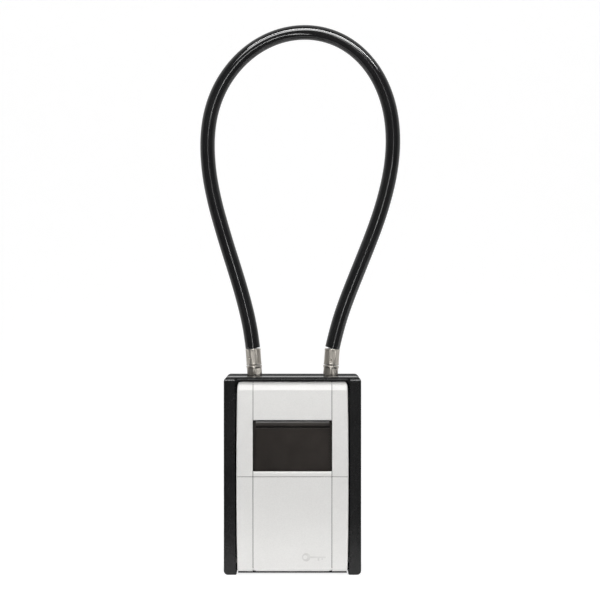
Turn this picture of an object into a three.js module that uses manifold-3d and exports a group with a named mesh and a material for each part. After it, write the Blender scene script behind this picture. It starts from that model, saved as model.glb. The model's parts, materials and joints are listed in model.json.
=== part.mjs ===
// Portable key lock box: cast body with a black bumper frame, a silver front
// door that drops open on a hinge pin, a sliding shutter over four code dials,
// a sprung release latch with a locking bar, and a sheathed steel cable loop.
//
// Frame: millimetres, +Z up towards the cable loop, -Y out of the front, +X to
// the right seen from the front. The origin is the centre of the flat back.

import * as THREE from 'three';
import { mergeVertices } from 'three/addons/utils/BufferGeometryUtils.js';
import Module from 'manifold-3d';

const wasm = await Module();
wasm.setup();

// ---------------------------------------------------------- shared dimensions
// "front" and "back" are Y values, "top" and "bottom" are Z values.
const GAP = 0.3; // running and assembly clearance
const SIDES = [['left', -1], ['right', 1]];

const BODY = { width: 82, height: 118 }; // over the bumper frame
const SLEEVE = { halfW: 38.4, top: 56.2, bottom: -56, front: -46.5 };
const BOTTOM_WALL_FRONT = -31.5;

const HINGE_AXIS = [-42, -51]; // [y, z]
const PIN = { radius: 1.5, bore: 1.8, halfLength: 38 };

const COVER = { halfW: 33.4, top: 56.2, bottom: -56.8, front: -50, topCornerR: 2.2 };
const TRAY = { front: -45.7, back: -43.2, halfW: 33.2, top: 53 };
const DIAL_OPENING = { x: [-23, 22], z: [12, 30] };
const DOOR_SCREWS = [[-28.3, 12], [-28.3, 29], [27.3, 12], [27.3, 29]]; // [x, z]
const THROUGH_DOOR = [-60, -40]; // Y span of cutters that open the door panels

const DIAL_AXIS = [-35.2, 21]; // [y, z]
const [DIAL_Y, DIAL_Z] = DIAL_AXIS;
const DIAL_WIDTH = 6.2;
const DIAL_PITCH = 8.4;
const DIAL_X = [0, 1, 2, 3].map((i) => -18.4 + i * DIAL_PITCH);
const SPINDLE_R = 2;

const WORKS_FRONT = TRAY.back + GAP;
const BAR_SLOT = { back: -20.3, front: -22.9, radius: 1.3 }; // travel of the locking bar
const LEVER_AT = [-14, 22]; // [x, z] of the code change lever

const CABLE_X = 23.1;
const CABLE_Y = -24;
const SHANK_R = 3.5;
const BUSH_R = 5;
const socketAt = (side) => [side * CABLE_X, CABLE_Y];
const blockScrewAt = (side) => [side * 7.3, CABLE_Y];

// ------------------------------------------------------------------- outlines
const QUARTER = Math.PI / 2;
const about = (centre, half) => [centre - half, centre + half];
const inset = ([low, high], margin) => [low + margin, high - margin];

// points along an elliptical arc, both ends included
function arc([centreA, centreB], [radiusA, radiusB], start, turn, steps) {
  return Array.from({ length: steps + 1 }, (_, i) => {
    const angle = start + turn * (i / steps);
    return [centreA + radiusA * Math.cos(angle), centreB + radiusB * Math.sin(angle)];
  });
}

const circle = (radius, sides) =>
  arc([0, 0], [radius, radius], 0, 2 * Math.PI, sides).slice(0, -1);

// counter-clockwise rectangle with one radius for the bottom corners, one for the top
function roundRect([x0, x1], [z0, z1], bottomR, topR = bottomR) {
  const corner = (x, z, radius, start) => arc([x, z], [radius, radius], start, QUARTER, 5);
  return [
    ...corner(x1 - bottomR, z0 + bottomR, bottomR, -QUARTER),
    ...corner(x1 - topR, z1 - topR, topR, 0),
    ...corner(x0 + topR, z1 - topR, topR, QUARTER),
    ...corner(x0 + bottomR, z0 + bottomR, bottomR, Math.PI),
  ];
}

// slot with round ends between two points
function capsule(from, to, radius) {
  const heading = Math.atan2(to[1] - from[1], to[0] - from[0]);
  return [
    ...arc(to, [radius, radius], heading - QUARTER, Math.PI, 6),
    ...arc(from, [radius, radius], heading + QUARTER, Math.PI, 6),
  ];
}

// --------------------------------------------------------------------- solids
function solid(geometry) {
  geometry.deleteAttribute('normal');
  geometry.deleteAttribute('uv');
  const merged = mergeVertices(geometry, 1e-4);
  const index = merged.index.array;
  const triangles = [];
  for (let i = 0; i < index.length; i += 3) {
    const [a, b, c] = [index[i], index[i + 1], index[i + 2]];
    // merging can collapse a triangle to a line
    if (a !== b && b !== c && a !== c) triangles.push(a, b, c);
  }
  return new wasm.Manifold(new wasm.Mesh({
    numProp: 3,
    vertProperties: merged.attributes.position.array,
    triVerts: new Uint32Array(triangles),
  }));
}

const union = (...parts) => parts.reduce((whole, part) => whole.add(part));
const cut = (body, ...cutters) => cutters.reduce((rest, cutter) => rest.subtract(cutter), body);

// Boxes and rods take [low, high] spans; a rod's place is given across its axis.
const box = ([x0, x1], [y0, y1], [z0, z1]) => solid(
  new THREE.BoxGeometry(x1 - x0, y1 - y0, z1 - z0)
    .translate((x0 + x1) / 2, (y0 + y1) / 2, (z0 + z1) / 2));

const rodX = (radius, [x0, x1], [y, z], sides = 24) => solid(
  new THREE.CylinderGeometry(radius, radius, x1 - x0, sides)
    .rotateZ(-Math.PI / 2).translate((x0 + x1) / 2, y, z));

const rodY = (radius, [y0, y1], [x, z], sides = 24) => solid(
  new THREE.CylinderGeometry(radius, radius, y1 - y0, sides)
    .translate(x, (y0 + y1) / 2, z));

const rodZ = (radius, [z0, z1], [x, y], sides = 24, topRadius = radius) => solid(
  new THREE.CylinderGeometry(topRadius, radius, z1 - z0, sides)
    .rotateX(Math.PI / 2).translate(x, y, (z0 + z1) / 2));

const ringZ = (radius, bore, zSpan, at, sides = 24, boreSides = 20) =>
  cut(rodZ(radius, zSpan, at, sides), rodZ(bore, inset(zSpan, -1), at, boreSides));

const vectors = (points) => points.map(([x, y]) => new THREE.Vector2(x, y));

// outline in X-Z drawn out along Y
function alongY(outline, [y0, y1], bevel = 0) {
  const geometry = new THREE.ExtrudeGeometry(new THREE.Shape(vectors(outline)), {
    depth: y1 - y0 - 2 * bevel,
    steps: 1,
    bevelEnabled: bevel > 0,
    bevelSize: bevel,
    bevelOffset: -bevel,
    bevelThickness: bevel,
    bevelSegments: 3,
  });
  return solid(geometry.translate(0, 0, bevel).rotateX(Math.PI / 2).translate(0, y1, 0));
}

// outline in Y-Z drawn out along X
function alongX(outline, [x0, x1]) {
  const geometry = new THREE.ExtrudeGeometry(new THREE.Shape(vectors(outline)),
    { depth: x1 - x0, bevelEnabled: false, steps: 1 });
  geometry.applyMatrix4(new THREE.Matrix4().makeBasis(
    new THREE.Vector3(0, 1, 0), new THREE.Vector3(0, 0, 1), new THREE.Vector3(1, 0, 0)));
  return solid(geometry.translate(x0, 0, 0));
}

function sweep(outline, path, steps, hole = null) {
  const shape = new THREE.Shape(vectors(outline));
  if (hole) shape.holes.push(new THREE.Path(vectors(hole)));
  return solid(new THREE.ExtrudeGeometry(shape,
    { steps, extrudePath: path, bevelEnabled: false }));
}

// cross-slotted screw lying along Y
function screwY({ at, headR, headY, headSides, slotY, shankY, shankSides }) {
  const slot = { halfLength: 1.7, halfWidth: 0.3 };
  const [x, z] = at;
  const head = cut(rodY(headR, headY, at, headSides),
    box(about(x, slot.halfLength), slotY, about(z, slot.halfWidth)),
    box(about(x, slot.halfWidth), slotY, about(z, slot.halfLength)));
  return head.add(rodY(1.2, shankY, at, shankSides));
}

// ============================================================ rear casting
const HOOK_SCREW_AT = [0, 4.6]; // [x, z]

function rearHousing() {
  const block = { halfW: 40.9, halfH: 58.95, front: -14, cornerR: 2.4, bevel: 1.2 };
  const cavity = { halfW: 35.4, halfH: 53.5, back: -3, cornerR: 1.2 };
  const topWallFront = -44.9;

  const blockBody = alongY(
    roundRect(about(0, block.halfW), about(0, block.halfH), block.cornerR), [-20, 0], block.bevel)
    .intersect(box(about(0, 60), [block.front, 10], about(0, 80)));
  const sleeveBody = alongY(
    roundRect(about(0, SLEEVE.halfW), [SLEEVE.bottom, SLEEVE.top], 1.6, 2.2),
    [SLEEVE.front, block.front + 1]);
  let housing = cut(blockBody.add(sleeveBody),
    alongY(roundRect(about(0, cavity.halfW), about(0, cavity.halfH), cavity.cornerR),
      [SLEEVE.front - 5, cavity.back]),
    // the top wall stops behind the cover's top, the bottom wall behind the hinge
    box(about(0, cavity.halfW), [-60, topWallFront], [40, 60]),
    box(about(0, cavity.halfW), [-60, BOTTOM_WALL_FRONT], [-60, -40]));
  for (const [, side] of SIDES) {
    housing = cut(housing,
      rodZ(BUSH_R + GAP, [50, 60], socketAt(side)),
      rodZ(1.8, [50, 55.5], blockScrewAt(side), 12));
  }
  return cut(housing, rodX(PIN.bore, about(0, 45), HINGE_AXIS),
    rodY(1.5, [-6, -0.8], HOOK_SCREW_AT, 16));
}

// ============================================================ bumper frame
// Cover outline in X-Z, grown all round; its half width shrinks away from z = 0.
function coverOutline({ grow, bottom = COVER.bottom, bottomR, topR }) {
  const halfWidth = (z) => COVER.halfW - 0.00016 * z * z + grow;
  const z0 = bottom - grow;
  const z1 = COVER.top + grow;
  const flankSteps = 10;
  const right = [];
  if (bottomR > 0) {
    const centre = [halfWidth(z0) - bottomR, z0 + bottomR];
    right.push(...arc(centre, [bottomR, bottomR], -QUARTER, QUARTER, 4).slice(0, -1));
  }
  for (let i = 0; i <= flankSteps; i++) {
    const z = z0 + bottomR + (z1 - topR - z0 - bottomR) * (i / flankSteps);
    right.push([halfWidth(z), z]);
  }
  right.push(...arc([halfWidth(z1) - topR, z1 - topR], [topR, topR], 0, QUARTER, 4).slice(1));
  const left = right.map(([x, z]) => [-x, z]).reverse();
  return [...right, ...left];
}

function surroundFrame() {
  const front = -48.6;
  const back = -14.3;
  const railBack = -46.8;
  const corners = { bottom: 2.5, top: 2.8 };
  const bevel = 1.5;
  const bottomCurl = { depth: 0.8, height: 1.2 };
  const topCurl = { depth: 3, height: 2.8 };
  const halfH = BODY.height / 2;

  // side view: the rails curl back at the top and, less, at the bottom
  const side = [
    ...arc([front + bottomCurl.depth, -halfH + bottomCurl.height],
      [bottomCurl.depth, bottomCurl.height], -QUARTER, -QUARTER, 5),
    ...arc([front + topCurl.depth, halfH - topCurl.height],
      [topCurl.depth, topCurl.height], Math.PI, -QUARTER, 6),
    [back, halfH],
    [back, -halfH],
  ];
  const pocket = box(about(0, 34.4), [-60, -47.2], [56, 58.5]);
  const bead = box(about(0, 34), [-48.2, -46], [56, 57.9]);
  const outer = alongY(
    roundRect(about(0, BODY.width / 2), about(0, halfH), corners.bottom, corners.top),
    [front, back + 4], bevel)
    .intersect(alongX(side, about(0, 60)))
    .subtract(pocket)
    .add(bead);
  const sleeveBore = alongY(
    roundRect(about(0, SLEEVE.halfW + GAP), [SLEEVE.bottom - GAP, SLEEVE.top + GAP], 1.6, 2.3),
    [railBack, back + 6]);
  const mouth = alongY(coverOutline({ grow: 0.4, bottom: -70, bottomR: 0, topR: 2.4 }),
    [front - 4, railBack + 1]);
  const underside = box(about(0, 33.2), [-60, BOTTOM_WALL_FRONT], [-70, SLEEVE.bottom + 3]);
  const cableHoles = SIDES.map(([, s]) => rodZ(BUSH_R + GAP, [50, 62], socketAt(s)));
  return cut(outer, sleeveBore, mouth, underside, ...cableHoles);
}

const hingePin = () => rodX(PIN.radius, about(0, PIN.halfLength), HINGE_AXIS, 20);

// ============================================================ socket block
// Zinc block under the top wall: strike ledge for the bolt, two cable sockets
// and the slot for the cable release slider.
const SLIDER = { halfDepth: 4, tabHalfDepth: 2, trackFloor: 51.05 };

function socketBlock() {
  let block = box(about(0, 29), [-30, -18], [47.5, 53.2]);
  block = block.subtract(box(about(0, 4.5), [-26.5, -10], [40, 60])); // bolt slot
  for (const [, side] of SIDES) {
    block = cut(block,
      rodZ(SHANK_R + GAP, [40, 60], socketAt(side)),
      rodZ(1.8, [40, 60], blockScrewAt(side), 12));
  }
  const clipRecess = rodZ(5.2, [40, 51.5], socketAt(-1));
  const track = box([9.6, 21], about(CABLE_Y, SLIDER.halfDepth + GAP), [SLIDER.trackFloor, 60]);
  const tabSlot = box([10.1, 16.6], about(CABLE_Y, SLIDER.tabHalfDepth + GAP), [40, 52]);
  return cut(block, clipRecess, track, tabSlot);
}

function cableReleaseSlider() {
  const plate = box([9.9, 18.15], about(CABLE_Y, SLIDER.halfDepth),
    [SLIDER.trackFloor + GAP, 52.85]);
  return plate.add(box([10.5, 13.5], about(CABLE_Y, SLIDER.tabHalfDepth), [44.6, 52]));
}

// cross-slotted screw standing along Z, slotted from below
function blockScrew(side) {
  const at = blockScrewAt(side);
  const [x, y] = at;
  const slot = { halfLength: 2, halfWidth: 0.35, z: [45, 46.2] };
  const head = cut(rodZ(2.7, [45.3, 47.2], at, 16),
    box(about(x, slot.halfLength), about(y, slot.halfWidth), slot.z),
    box(about(x, slot.halfWidth), about(y, slot.halfLength), slot.z));
  return head.add(rodZ(1.5, [47.1, 55.1], at, 12));
}

const entryBush = (side) =>
  ringZ(BUSH_R, SHANK_R + GAP, [53.8, 58.9], socketAt(side), 24, 24);

// ============================================================ key hook and pad
function keyHook() {
  const hook = union(
    box(about(0, 4), [-4.5, -3.3], [-3, 8]), // plate
    box(about(0, 2), [-13, -4], [-3, -1.6]), // arm
    box(about(0, 2), [-13, -11.6], [-3, 2.6])); // upturned tip
  return hook.subtract(rodY(1.5, [-8, 0], HOOK_SCREW_AT, 16));
}

const keyHookScrew = () => screwY({
  at: HOOK_SCREW_AT,
  headR: 2.3,
  headY: [-6.2, -4.8],
  headSides: 20,
  slotY: [-7, -5.6],
  shankY: [-4.9, -1.1],
  shankSides: 16,
});

const keyPad = () => alongY(roundRect(about(0, 28), [-48, -5], 3), [-4.6, -3.3]);

// ============================================================ door: cover
// crowned section of the cover in Y-Z, moved inward by a depth
function coverSection(depth) {
  const crownR = 1120;
  const lip = -45.25;
  const back = depth > 0 ? lip + 2.2 : lip;
  const crownY = (z) => COVER.front + (z * z) / (2 * crownR) + depth;
  const zTop = COVER.top - depth;
  const zBottom = COVER.bottom + depth;
  // the crown ends at these heights and an elliptical edge takes over
  const crownTop = 50.7;
  const crownBottom = -54.8;
  const topDepth = 3.5 - depth * 0.4;
  const bottomDepth = 2 - depth * 0.4;
  const crownSteps = 9;

  const points = [
    [back, zBottom],
    ...arc([crownY(crownBottom) + bottomDepth, crownBottom],
      [bottomDepth, crownBottom - zBottom], -QUARTER, -QUARTER, 4).slice(1),
  ];
  for (let i = 1; i < crownSteps; i++) {
    const z = crownBottom + (crownTop - crownBottom) * (i / crownSteps);
    points.push([crownY(z), z]);
  }
  points.push(
    ...arc([crownY(crownTop) + topDepth, crownTop],
      [topDepth, zTop - crownTop], Math.PI, -QUARTER, 6),
    [back, zTop]);
  return points;
}

function frontCover() {
  const wall = 1.2;
  const rimBack = -46;
  const window = { halfW: 23.5, z: [2.9, 33.4] };
  const groove = { width: 0.7, depth: 0.6, seamZ: -0.1 };
  const fullWidth = about(0, 40);

  const outer = alongX(coverSection(0), fullWidth)
    .intersect(alongY(coverOutline({ grow: 0, bottomR: 1.6, topR: COVER.topCornerR }),
      THROUGH_DOOR))
    .subtract(box(fullWidth, [rimBack, -40], [-60, 54.2])); // the lip stays only at the top
  const inner = alongX(coverSection(wall), fullWidth)
    .intersect(alongY(coverOutline({ grow: -1.5, bottomR: 1, topR: 1.4 }), THROUGH_DOOR));
  let cover = cut(outer, inner,
    alongY(roundRect(about(0, window.halfW), window.z, 0.8), THROUGH_DOOR));

  // two vertical grooves and one cross groove, cut to a constant depth
  const core = alongX(coverSection(groove.depth), fullWidth);
  for (const [, side] of SIDES) {
    const x = about(side * window.halfW, groove.width / 2);
    cover = cover.subtract(box(x, THROUGH_DOOR, [-56, 55.4]).subtract(core));
  }
  const seam = box(about(0, 32.6), THROUGH_DOOR, about(groove.seamZ, groove.width / 2));
  return cover.subtract(seam.subtract(core));
}

// ============================================================ door: tray
function doorTray() {
  const wallInside = 31.9;
  const wallY = [TRAY.back - 0.5, -37.5];
  const wallTop = TRAY.top - 1;
  const tray = union(
    box(about(0, TRAY.halfW), [TRAY.front, TRAY.back], [-56.3, TRAY.top]),
    box(about(0, 32.5), [-45, TRAY.back], [-58.2, -55]),
    rodX(5.2, about(0, 31), HINGE_AXIS, 28), // hinge barrel
    rodX(3.6, about(0, TRAY.halfW), HINGE_AXIS),
    box([-TRAY.halfW, -wallInside], wallY, [-44, wallTop]),
    box([wallInside, TRAY.halfW], wallY, [-44, wallTop]),
    box(about(0, TRAY.halfW), wallY, [TRAY.top - 2.4, wallTop]));
  return cut(tray,
    rodX(PIN.bore, about(0, 50), HINGE_AXIS),
    box(DIAL_OPENING.x, THROUGH_DOOR, DIAL_OPENING.z),
    ...DOOR_SCREWS.map((at) => rodY(1.5, [-45, -40], at, 12)));
}

function dialBezel() {
  const plate = box(inset(DIAL_OPENING.x, GAP), [-45.4, -44.2], inset(DIAL_OPENING.z, GAP));
  return cut(plate,
    ...DIAL_X.map((x) => box(about(x, 3.5), THROUGH_DOOR, [13.5, 28.5])),
    box([14.3, 20.3], THROUGH_DOOR, [13.7, 27.3])); // release button opening
}

// ============================================================ door: lock works
function lockFrame() {
  const sheet = 1.2;
  const [left, right] = [-23.4, 13.2];
  const back = -17.5;
  const [bottom, top] = [9.1, 29.5];
  const cheek = (xSpan) => cut(box(xSpan, [WORKS_FRONT, back], [bottom, top]),
    rodX(SPINDLE_R + GAP, inset(xSpan, -1), DIAL_AXIS),
    alongX(capsule([BAR_SLOT.front, DIAL_Z], [BAR_SLOT.back, DIAL_Z], BAR_SLOT.radius),
      inset(xSpan, -1)));
  return union(
    cheek([left, left + sheet]),
    cheek([right - sheet, right]),
    box([left, right], [back - sheet, back], [bottom, top]),
    box([left, right], [-23.5, back], [bottom, bottom + sheet]));
}

const dialSpindle = () => rodX(SPINDLE_R, [-23.8, 13.5], DIAL_AXIS, 18);

// a strip with one ridged finger under each dial
function dialDetentSpring() {
  const sheetZ = [8.2, 8.8];
  const ridge = [[-36.3, 8.7], [-34.1, 8.7], [-35.0, 9.65], [-35.4, 9.65]]; // [y, z]
  const fingers = DIAL_X.flatMap((x) => [
    box(about(x, 1.8), [-37, -23.9], sheetZ),
    alongX(ridge, about(x, 1.8)),
  ]);
  return union(box([-22, 11], [-24, -20], sheetZ), ...fingers);
}

function lockCover() {
  const wall = 1.2;
  const back = -15.2;
  // rectangle in X-Z with a step at its top left
  const stepped = (margin) => {
    const [left, right] = inset([-26, 25], margin);
    const bottom = 6.5 + margin;
    const stepX = -6 + margin;
    const top = 38 - margin;
    const stepZ = 33.6 - margin;
    return [[left, bottom], [right, bottom], [right, top],
      [stepX, top], [stepX, stepZ], [left, stepZ]];
  };
  let cover = alongY(stepped(0), [WORKS_FRONT, back])
    .subtract(alongY(stepped(wall), [-60, back - wall]));
  for (const at of DOOR_SCREWS) {
    const tabX = at[0] < 0 ? [-31.2, -25.6] : [24.6, 30.2];
    cover = cover.add(box(tabX, [WORKS_FRONT, -41.4], about(at[1], 3)))
      .subtract(rodY(1.5, [-50, -30], at, 12));
  }
  return cut(cover,
    box(about(0, 4), [-25.4, -22.6], [30, 45]), // bolt slot
    rodY(2.5, [-20, -10], LEVER_AT, 20));
}

const doorScrew = (at) => screwY({
  at,
  headR: 2.2,
  headY: [-41.1, -39.5],
  headSides: 16,
  slotY: [-40.3, -39],
  shankY: [-44.7, -41],
  shankSides: 12,
});

// coil spring under the release slide, standing along Z
class Helix extends THREE.Curve {
  constructor({ x, y, bottom, top, radius, turns }) {
    super();
    Object.assign(this, { x, y, bottom, top, radius, turns });
  }

  getPoint(t, target = new THREE.Vector3()) {
    const angle = t * this.turns * 2 * Math.PI;
    return target.set(
      this.x + this.radius * Math.cos(angle),
      this.y + this.radius * Math.sin(angle),
      this.bottom + (this.top - this.bottom) * t);
  }
}

function latchSpring() {
  const coil = new Helix({ x: 17.7, y: -38.6, bottom: 8.2, top: 19.5, radius: 1.75, turns: 5.5 });
  return sweep(circle(0.36, 5), coil, 60);
}

// ============================================================ dials
// ring with ten shallow finger flutes between the digit lands
function dialRing(x) {
  const radius = 11;
  const bore = 6;
  const flute = { count: 10, radius: 1.1, orbit: radius + 0.55 };
  const through = about(x, 5);
  let ring = rodX(radius, about(x, DIAL_WIDTH / 2), DIAL_AXIS, 30);
  for (let i = 0; i < flute.count; i++) {
    const angle = ((i + 0.5) / flute.count) * 2 * Math.PI;
    const y = DIAL_Y + flute.orbit * Math.cos(angle);
    const z = DIAL_Z + flute.orbit * Math.sin(angle);
    ring = ring.subtract(rodX(flute.radius, through, [y, z], 6));
  }
  return ring.subtract(rodX(bore, through, DIAL_AXIS));
}

// barrel inside a dial with a cam disc on its right, gated at the back and below
function camSleeve(x) {
  const barrelR = 5.6;
  const disc = { radius: 8.5, left: x + 3.4, right: x + 4.8 };
  const gateHalf = 1.3;
  const gateX = [disc.left - 0.01, x + 9];
  const sleeve = union(
    rodX(barrelR, [x - DIAL_WIDTH / 2, disc.left + 0.2], DIAL_AXIS),
    rodX(disc.radius, [disc.left, disc.right], DIAL_AXIS, 28));
  return cut(sleeve,
    rodX(SPINDLE_R + GAP, about(x, 9), DIAL_AXIS, 18),
    box(gateX, [DIAL_Y + 5.5, DIAL_Y + 12], about(DIAL_Z, gateHalf)),
    box(gateX, about(DIAL_Y, gateHalf), [DIAL_Z - 12, DIAL_Z - 6]));
}

// ============================================================ shutter
// thin sliding plate with a raised panel and a finger ridge
function shutter() {
  const raisedX = about(0, 21.9);
  const ridge = [ // [y, z]
    [-47.1, 29.7], [-47.1, 32.58], [-48.5, 32.58], [-48.78, 32.3],
    [-49.0, 31.7], [-49.0, 30.2], [-48.6, 29.8],
  ];
  return union(
    alongY(roundRect(about(0, 26), [1.6, 34.5], 0.8), [-47.3, -46.6]),
    box(raisedX, [-47.9, -47], [2.4, 28.5]),
    alongX(ridge, raisedX));
}

// ============================================================ release and latch
function releaseButton() {
  const button = union(
    box([14.6, 20], [-46.3, -43.2], [19, 27]),
    box([15.3, 20], [-43.4, -36], [20, 26]));
  const gripGrooves = [20.8, 22.4, 24].map((z) => box([14, 21], [-47, -46], [z, z + 0.7]));
  return cut(button, ...gripGrooves);
}

function latchBolt() {
  const armOutline = [ // [y, z]
    [WORKS_FRONT, 13.2], [-19, 13.2], [-19, 36.5], [-30, 36.5], [WORKS_FRONT, 29],
  ];
  const slot = capsule([BAR_SLOT.back, DIAL_Z], [BAR_SLOT.front, DIAL_Z + 5], BAR_SLOT.radius);
  return union(
    alongX(armOutline, [13.8, 15]).subtract(alongX(slot, [13, 16])),
    box([-4, 14.4], [-25, -19.5], [35, 36.5]), // bridge
    box(about(0, 3.5), [-25, -23], [35.5, 50.5])); // bolt
}

function lockingBar() {
  const pivot = [BAR_SLOT.back, DIAL_Z];
  return union(
    box([-21.8, 11.6], [-21.3, -19.3], about(DIAL_Z, 2)),
    ...DIAL_X.map((x) => box([x + 3.5, x + 4.7], [-26.3, -20.5], about(DIAL_Z, 1))),
    rodX(1, [-23.8, -21.5], pivot, 16),
    rodX(1, [11.3, 15.3], pivot, 16));
}

function codeChangeLever() {
  const armX = about(LEVER_AT[0], 1.7);
  return union(
    rodY(2.2, [-17.2, -14.5], LEVER_AT, 20),
    rodY(4.4, [-14.9, -13.6], LEVER_AT),
    box(armX, [-14.9, -13.6], [12.5, LEVER_AT[1]]),
    box(armX, [-14.9, -11.8], [12.5, 13.8]));
}

// ============================================================ cable loop
// Centreline of the loop, [x, z] at the cable plane, from the left socket to
// the right one. The loop stands a little to the right of centre.
const LOOP = [
  [-24.27, 75.85], [-25.52, 84.94], [-27.36, 94.53], [-29.69, 104.02], [-32.32, 113.42],
  [-35.16, 122.77], [-38.10, 132.08], [-41.00, 141.41], [-43.75, 150.78], [-46.39, 160.19],
  [-48.62, 169.70], [-50.43, 179.29], [-51.55, 188.99], [-52.00, 198.75], [-51.56, 208.50],
  [-50.05, 218.14], [-47.29, 227.50], [-43.23, 236.37], [-37.91, 244.54], [-31.48, 251.87],
  [-24.00, 258.12], [-15.58, 263.04], [-6.46, 266.47], [3.13, 268.16], [12.88, 268.06],
  [22.40, 266.02], [31.33, 262.14], [39.30, 256.54], [46.09, 249.56], [51.64, 241.54],
  [55.84, 232.74], [58.83, 223.46], [60.57, 213.86], [61.26, 204.12], [60.99, 194.36],
  [59.86, 184.66], [58.02, 175.07], [55.60, 165.61], [52.75, 156.27], [49.50, 147.06],
  [45.98, 137.95], [42.36, 128.88], [38.71, 119.81], [35.08, 110.75], [31.64, 101.61],
  [28.55, 92.34], [26.00, 82.92], [24.28, 75.95],
];
const MOUTH_Z = 59.3; // the end fittings lean outward from here
const LEAN_DEGREES = 4;

const cablePath = (points) => new THREE.CatmullRomCurve3(
  points.map(([x, z]) => new THREE.Vector3(x, CABLE_Y, z)), false, 'centripetal');

const cableSheath = () =>
  sweep(circle(4.5, 12), cablePath(LOOP), 54, circle(3.35, 8).reverse());

// the steel rope inside, run on into both crimp sleeves
function cableCore() {
  const runOn = { x: 0.5, z: 7.2 };
  const first = LOOP[0];
  const last = LOOP[LOOP.length - 1];
  const points = [
    [first[0] + runOn.x, first[1] - runOn.z],
    ...LOOP,
    [last[0] - runOn.x, last[1] - runOn.z],
  ];
  return sweep(circle(2.6, 8), cablePath(points), 56);
}

// a turned part about its own axis, leaned outward from the socket mouth
const leaned = (part, side) => part
  .translate([0, 0, -MOUTH_Z])
  .rotate([0, side * LEAN_DEGREES, 0])
  .translate([...socketAt(side), MOUTH_Z]);

const crimpSleeve = (side) => leaned(
  cut(rodZ(4.65, [65.3, 75.2], [0, 0]), rodZ(3.3, [67, 80], [0, 0], 20)), side);

// captive shank with a groove for the retaining clip
function leftShank() {
  const at = socketAt(-1);
  return rodZ(SHANK_R, [38.5, 60.5], at).subtract(ringZ(6, 2.6, [39.4, 41], at));
}

// shorter shank with a tapered tip and a groove above it
function rightShank() {
  const at = socketAt(1);
  return union(rodZ(2.7, [50, 50.8], at, 24, SHANK_R), rodZ(SHANK_R, [50.7, 60.5], at))
    .subtract(ringZ(6, 2.2, [51.1, 53.1], at));
}

function endFitting(side) {
  const collarR = 4.8;
  const turned = union(
    rodZ(4.45, [59, 59.9], [0, 0], 24, collarR),
    rodZ(collarR, [59.8, 65], [0, 0]));
  const belowMouth = box(about(side * CABLE_X, 8), about(CABLE_Y, 8), [50, MOUTH_Z]);
  const collar = leaned(turned, side).subtract(belowMouth);
  return collar.add(side < 0 ? leftShank() : rightShank());
}

// snap ring on the captive end, open to the front
function retainingClip() {
  const at = socketAt(-1);
  return ringZ(4.7, 2.9, [39.7, 40.7], at, 28)
    .subtract(box(about(at[0], 1.6), [CABLE_Y - 6, CABLE_Y], [39, 42]));
}

// ============================================================ assembly
const MATERIALS = {
  silver: { color: 0xc9c9ca, roughness: 0.42, metalness: 0.55 },
  castBlack: { color: 0x1d1d1f, roughness: 0.55, metalness: 0.25 },
  bumperBlack: { color: 0x202022, roughness: 0.62, metalness: 0.0 },
  trayBlack: { color: 0x17171a, roughness: 0.55, metalness: 0.0 },
  shutterGrey: { color: 0x322e2b, roughness: 0.5, metalness: 0.0 },
  dialBlack: { color: 0x151517, roughness: 0.4, metalness: 0.0 },
  steel: { color: 0xa6a6a2, roughness: 0.32, metalness: 1.0 },
  zinc: { color: 0x8e8e8c, roughness: 0.5, metalness: 0.9 },
  spring: { color: 0xb9b9b4, roughness: 0.28, metalness: 1.0 },
  ferrule: { color: 0xa09c96, roughness: 0.4, metalness: 0.9 },
  sheath: { color: 0x121214, roughness: 0.28, metalness: 0.0 },
  rubber: { color: 0x1b1b1b, roughness: 0.85, metalness: 0.0 },
  brass: { color: 0xb08d4c, roughness: 0.35, metalness: 1.0 },
};

const keyBox = new THREE.Group();
keyBox.name = 'key_lock_box';
const cableGroup = new THREE.Group();
cableGroup.name = 'cable_loop';

function piece(name, body, material, parent = keyBox) {
  const { vertProperties, triVerts } = body.getMesh();
  const geometry = new THREE.BufferGeometry();
  geometry.setAttribute('position',
    new THREE.BufferAttribute(new Float32Array(vertProperties), 3));
  geometry.setIndex(new THREE.BufferAttribute(new Uint32Array(triVerts), 1));
  geometry.computeVertexNormals();
  const mesh = new THREE.Mesh(geometry, new THREE.MeshStandardMaterial(MATERIALS[material]));
  mesh.name = name;
  parent.add(mesh);
}

piece('rear_housing', rearHousing(), 'castBlack');
piece('surround_frame', surroundFrame(), 'bumperBlack');
piece('hinge_pin', hingePin(), 'steel');
piece('socket_block', socketBlock(), 'zinc');
for (const [name, side] of SIDES) {
  piece(`block_screw_${name}`, blockScrew(side), 'steel');
  piece(`entry_bush_${name}`, entryBush(side), 'rubber');
}
piece('key_hook', keyHook(), 'steel');
piece('key_hook_screw', keyHookScrew(), 'steel');
piece('key_pad', keyPad(), 'rubber');

piece('front_cover', frontCover(), 'silver');
piece('door_tray', doorTray(), 'trayBlack');
piece('dial_bezel', dialBezel(), 'trayBlack');
piece('lock_frame', lockFrame(), 'steel');
piece('dial_spindle', dialSpindle(), 'steel');
piece('dial_detent_spring', dialDetentSpring(), 'spring');
piece('lock_cover', lockCover(), 'trayBlack');
DOOR_SCREWS.forEach((at, i) => piece(`door_screw_${i + 1}`, doorScrew(at), 'steel'));
piece('latch_spring', latchSpring(), 'spring');
DIAL_X.forEach((x, i) => {
  piece(`dial_ring_${i + 1}`, dialRing(x), 'dialBlack');
  piece(`cam_sleeve_${i + 1}`, camSleeve(x), 'zinc');
});
piece('shutter', shutter(), 'shutterGrey');
piece('release_button', releaseButton(), 'trayBlack');
piece('latch_bolt', latchBolt(), 'steel');
piece('locking_bar', lockingBar(), 'steel');
piece('code_change_lever', codeChangeLever(), 'brass');

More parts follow.
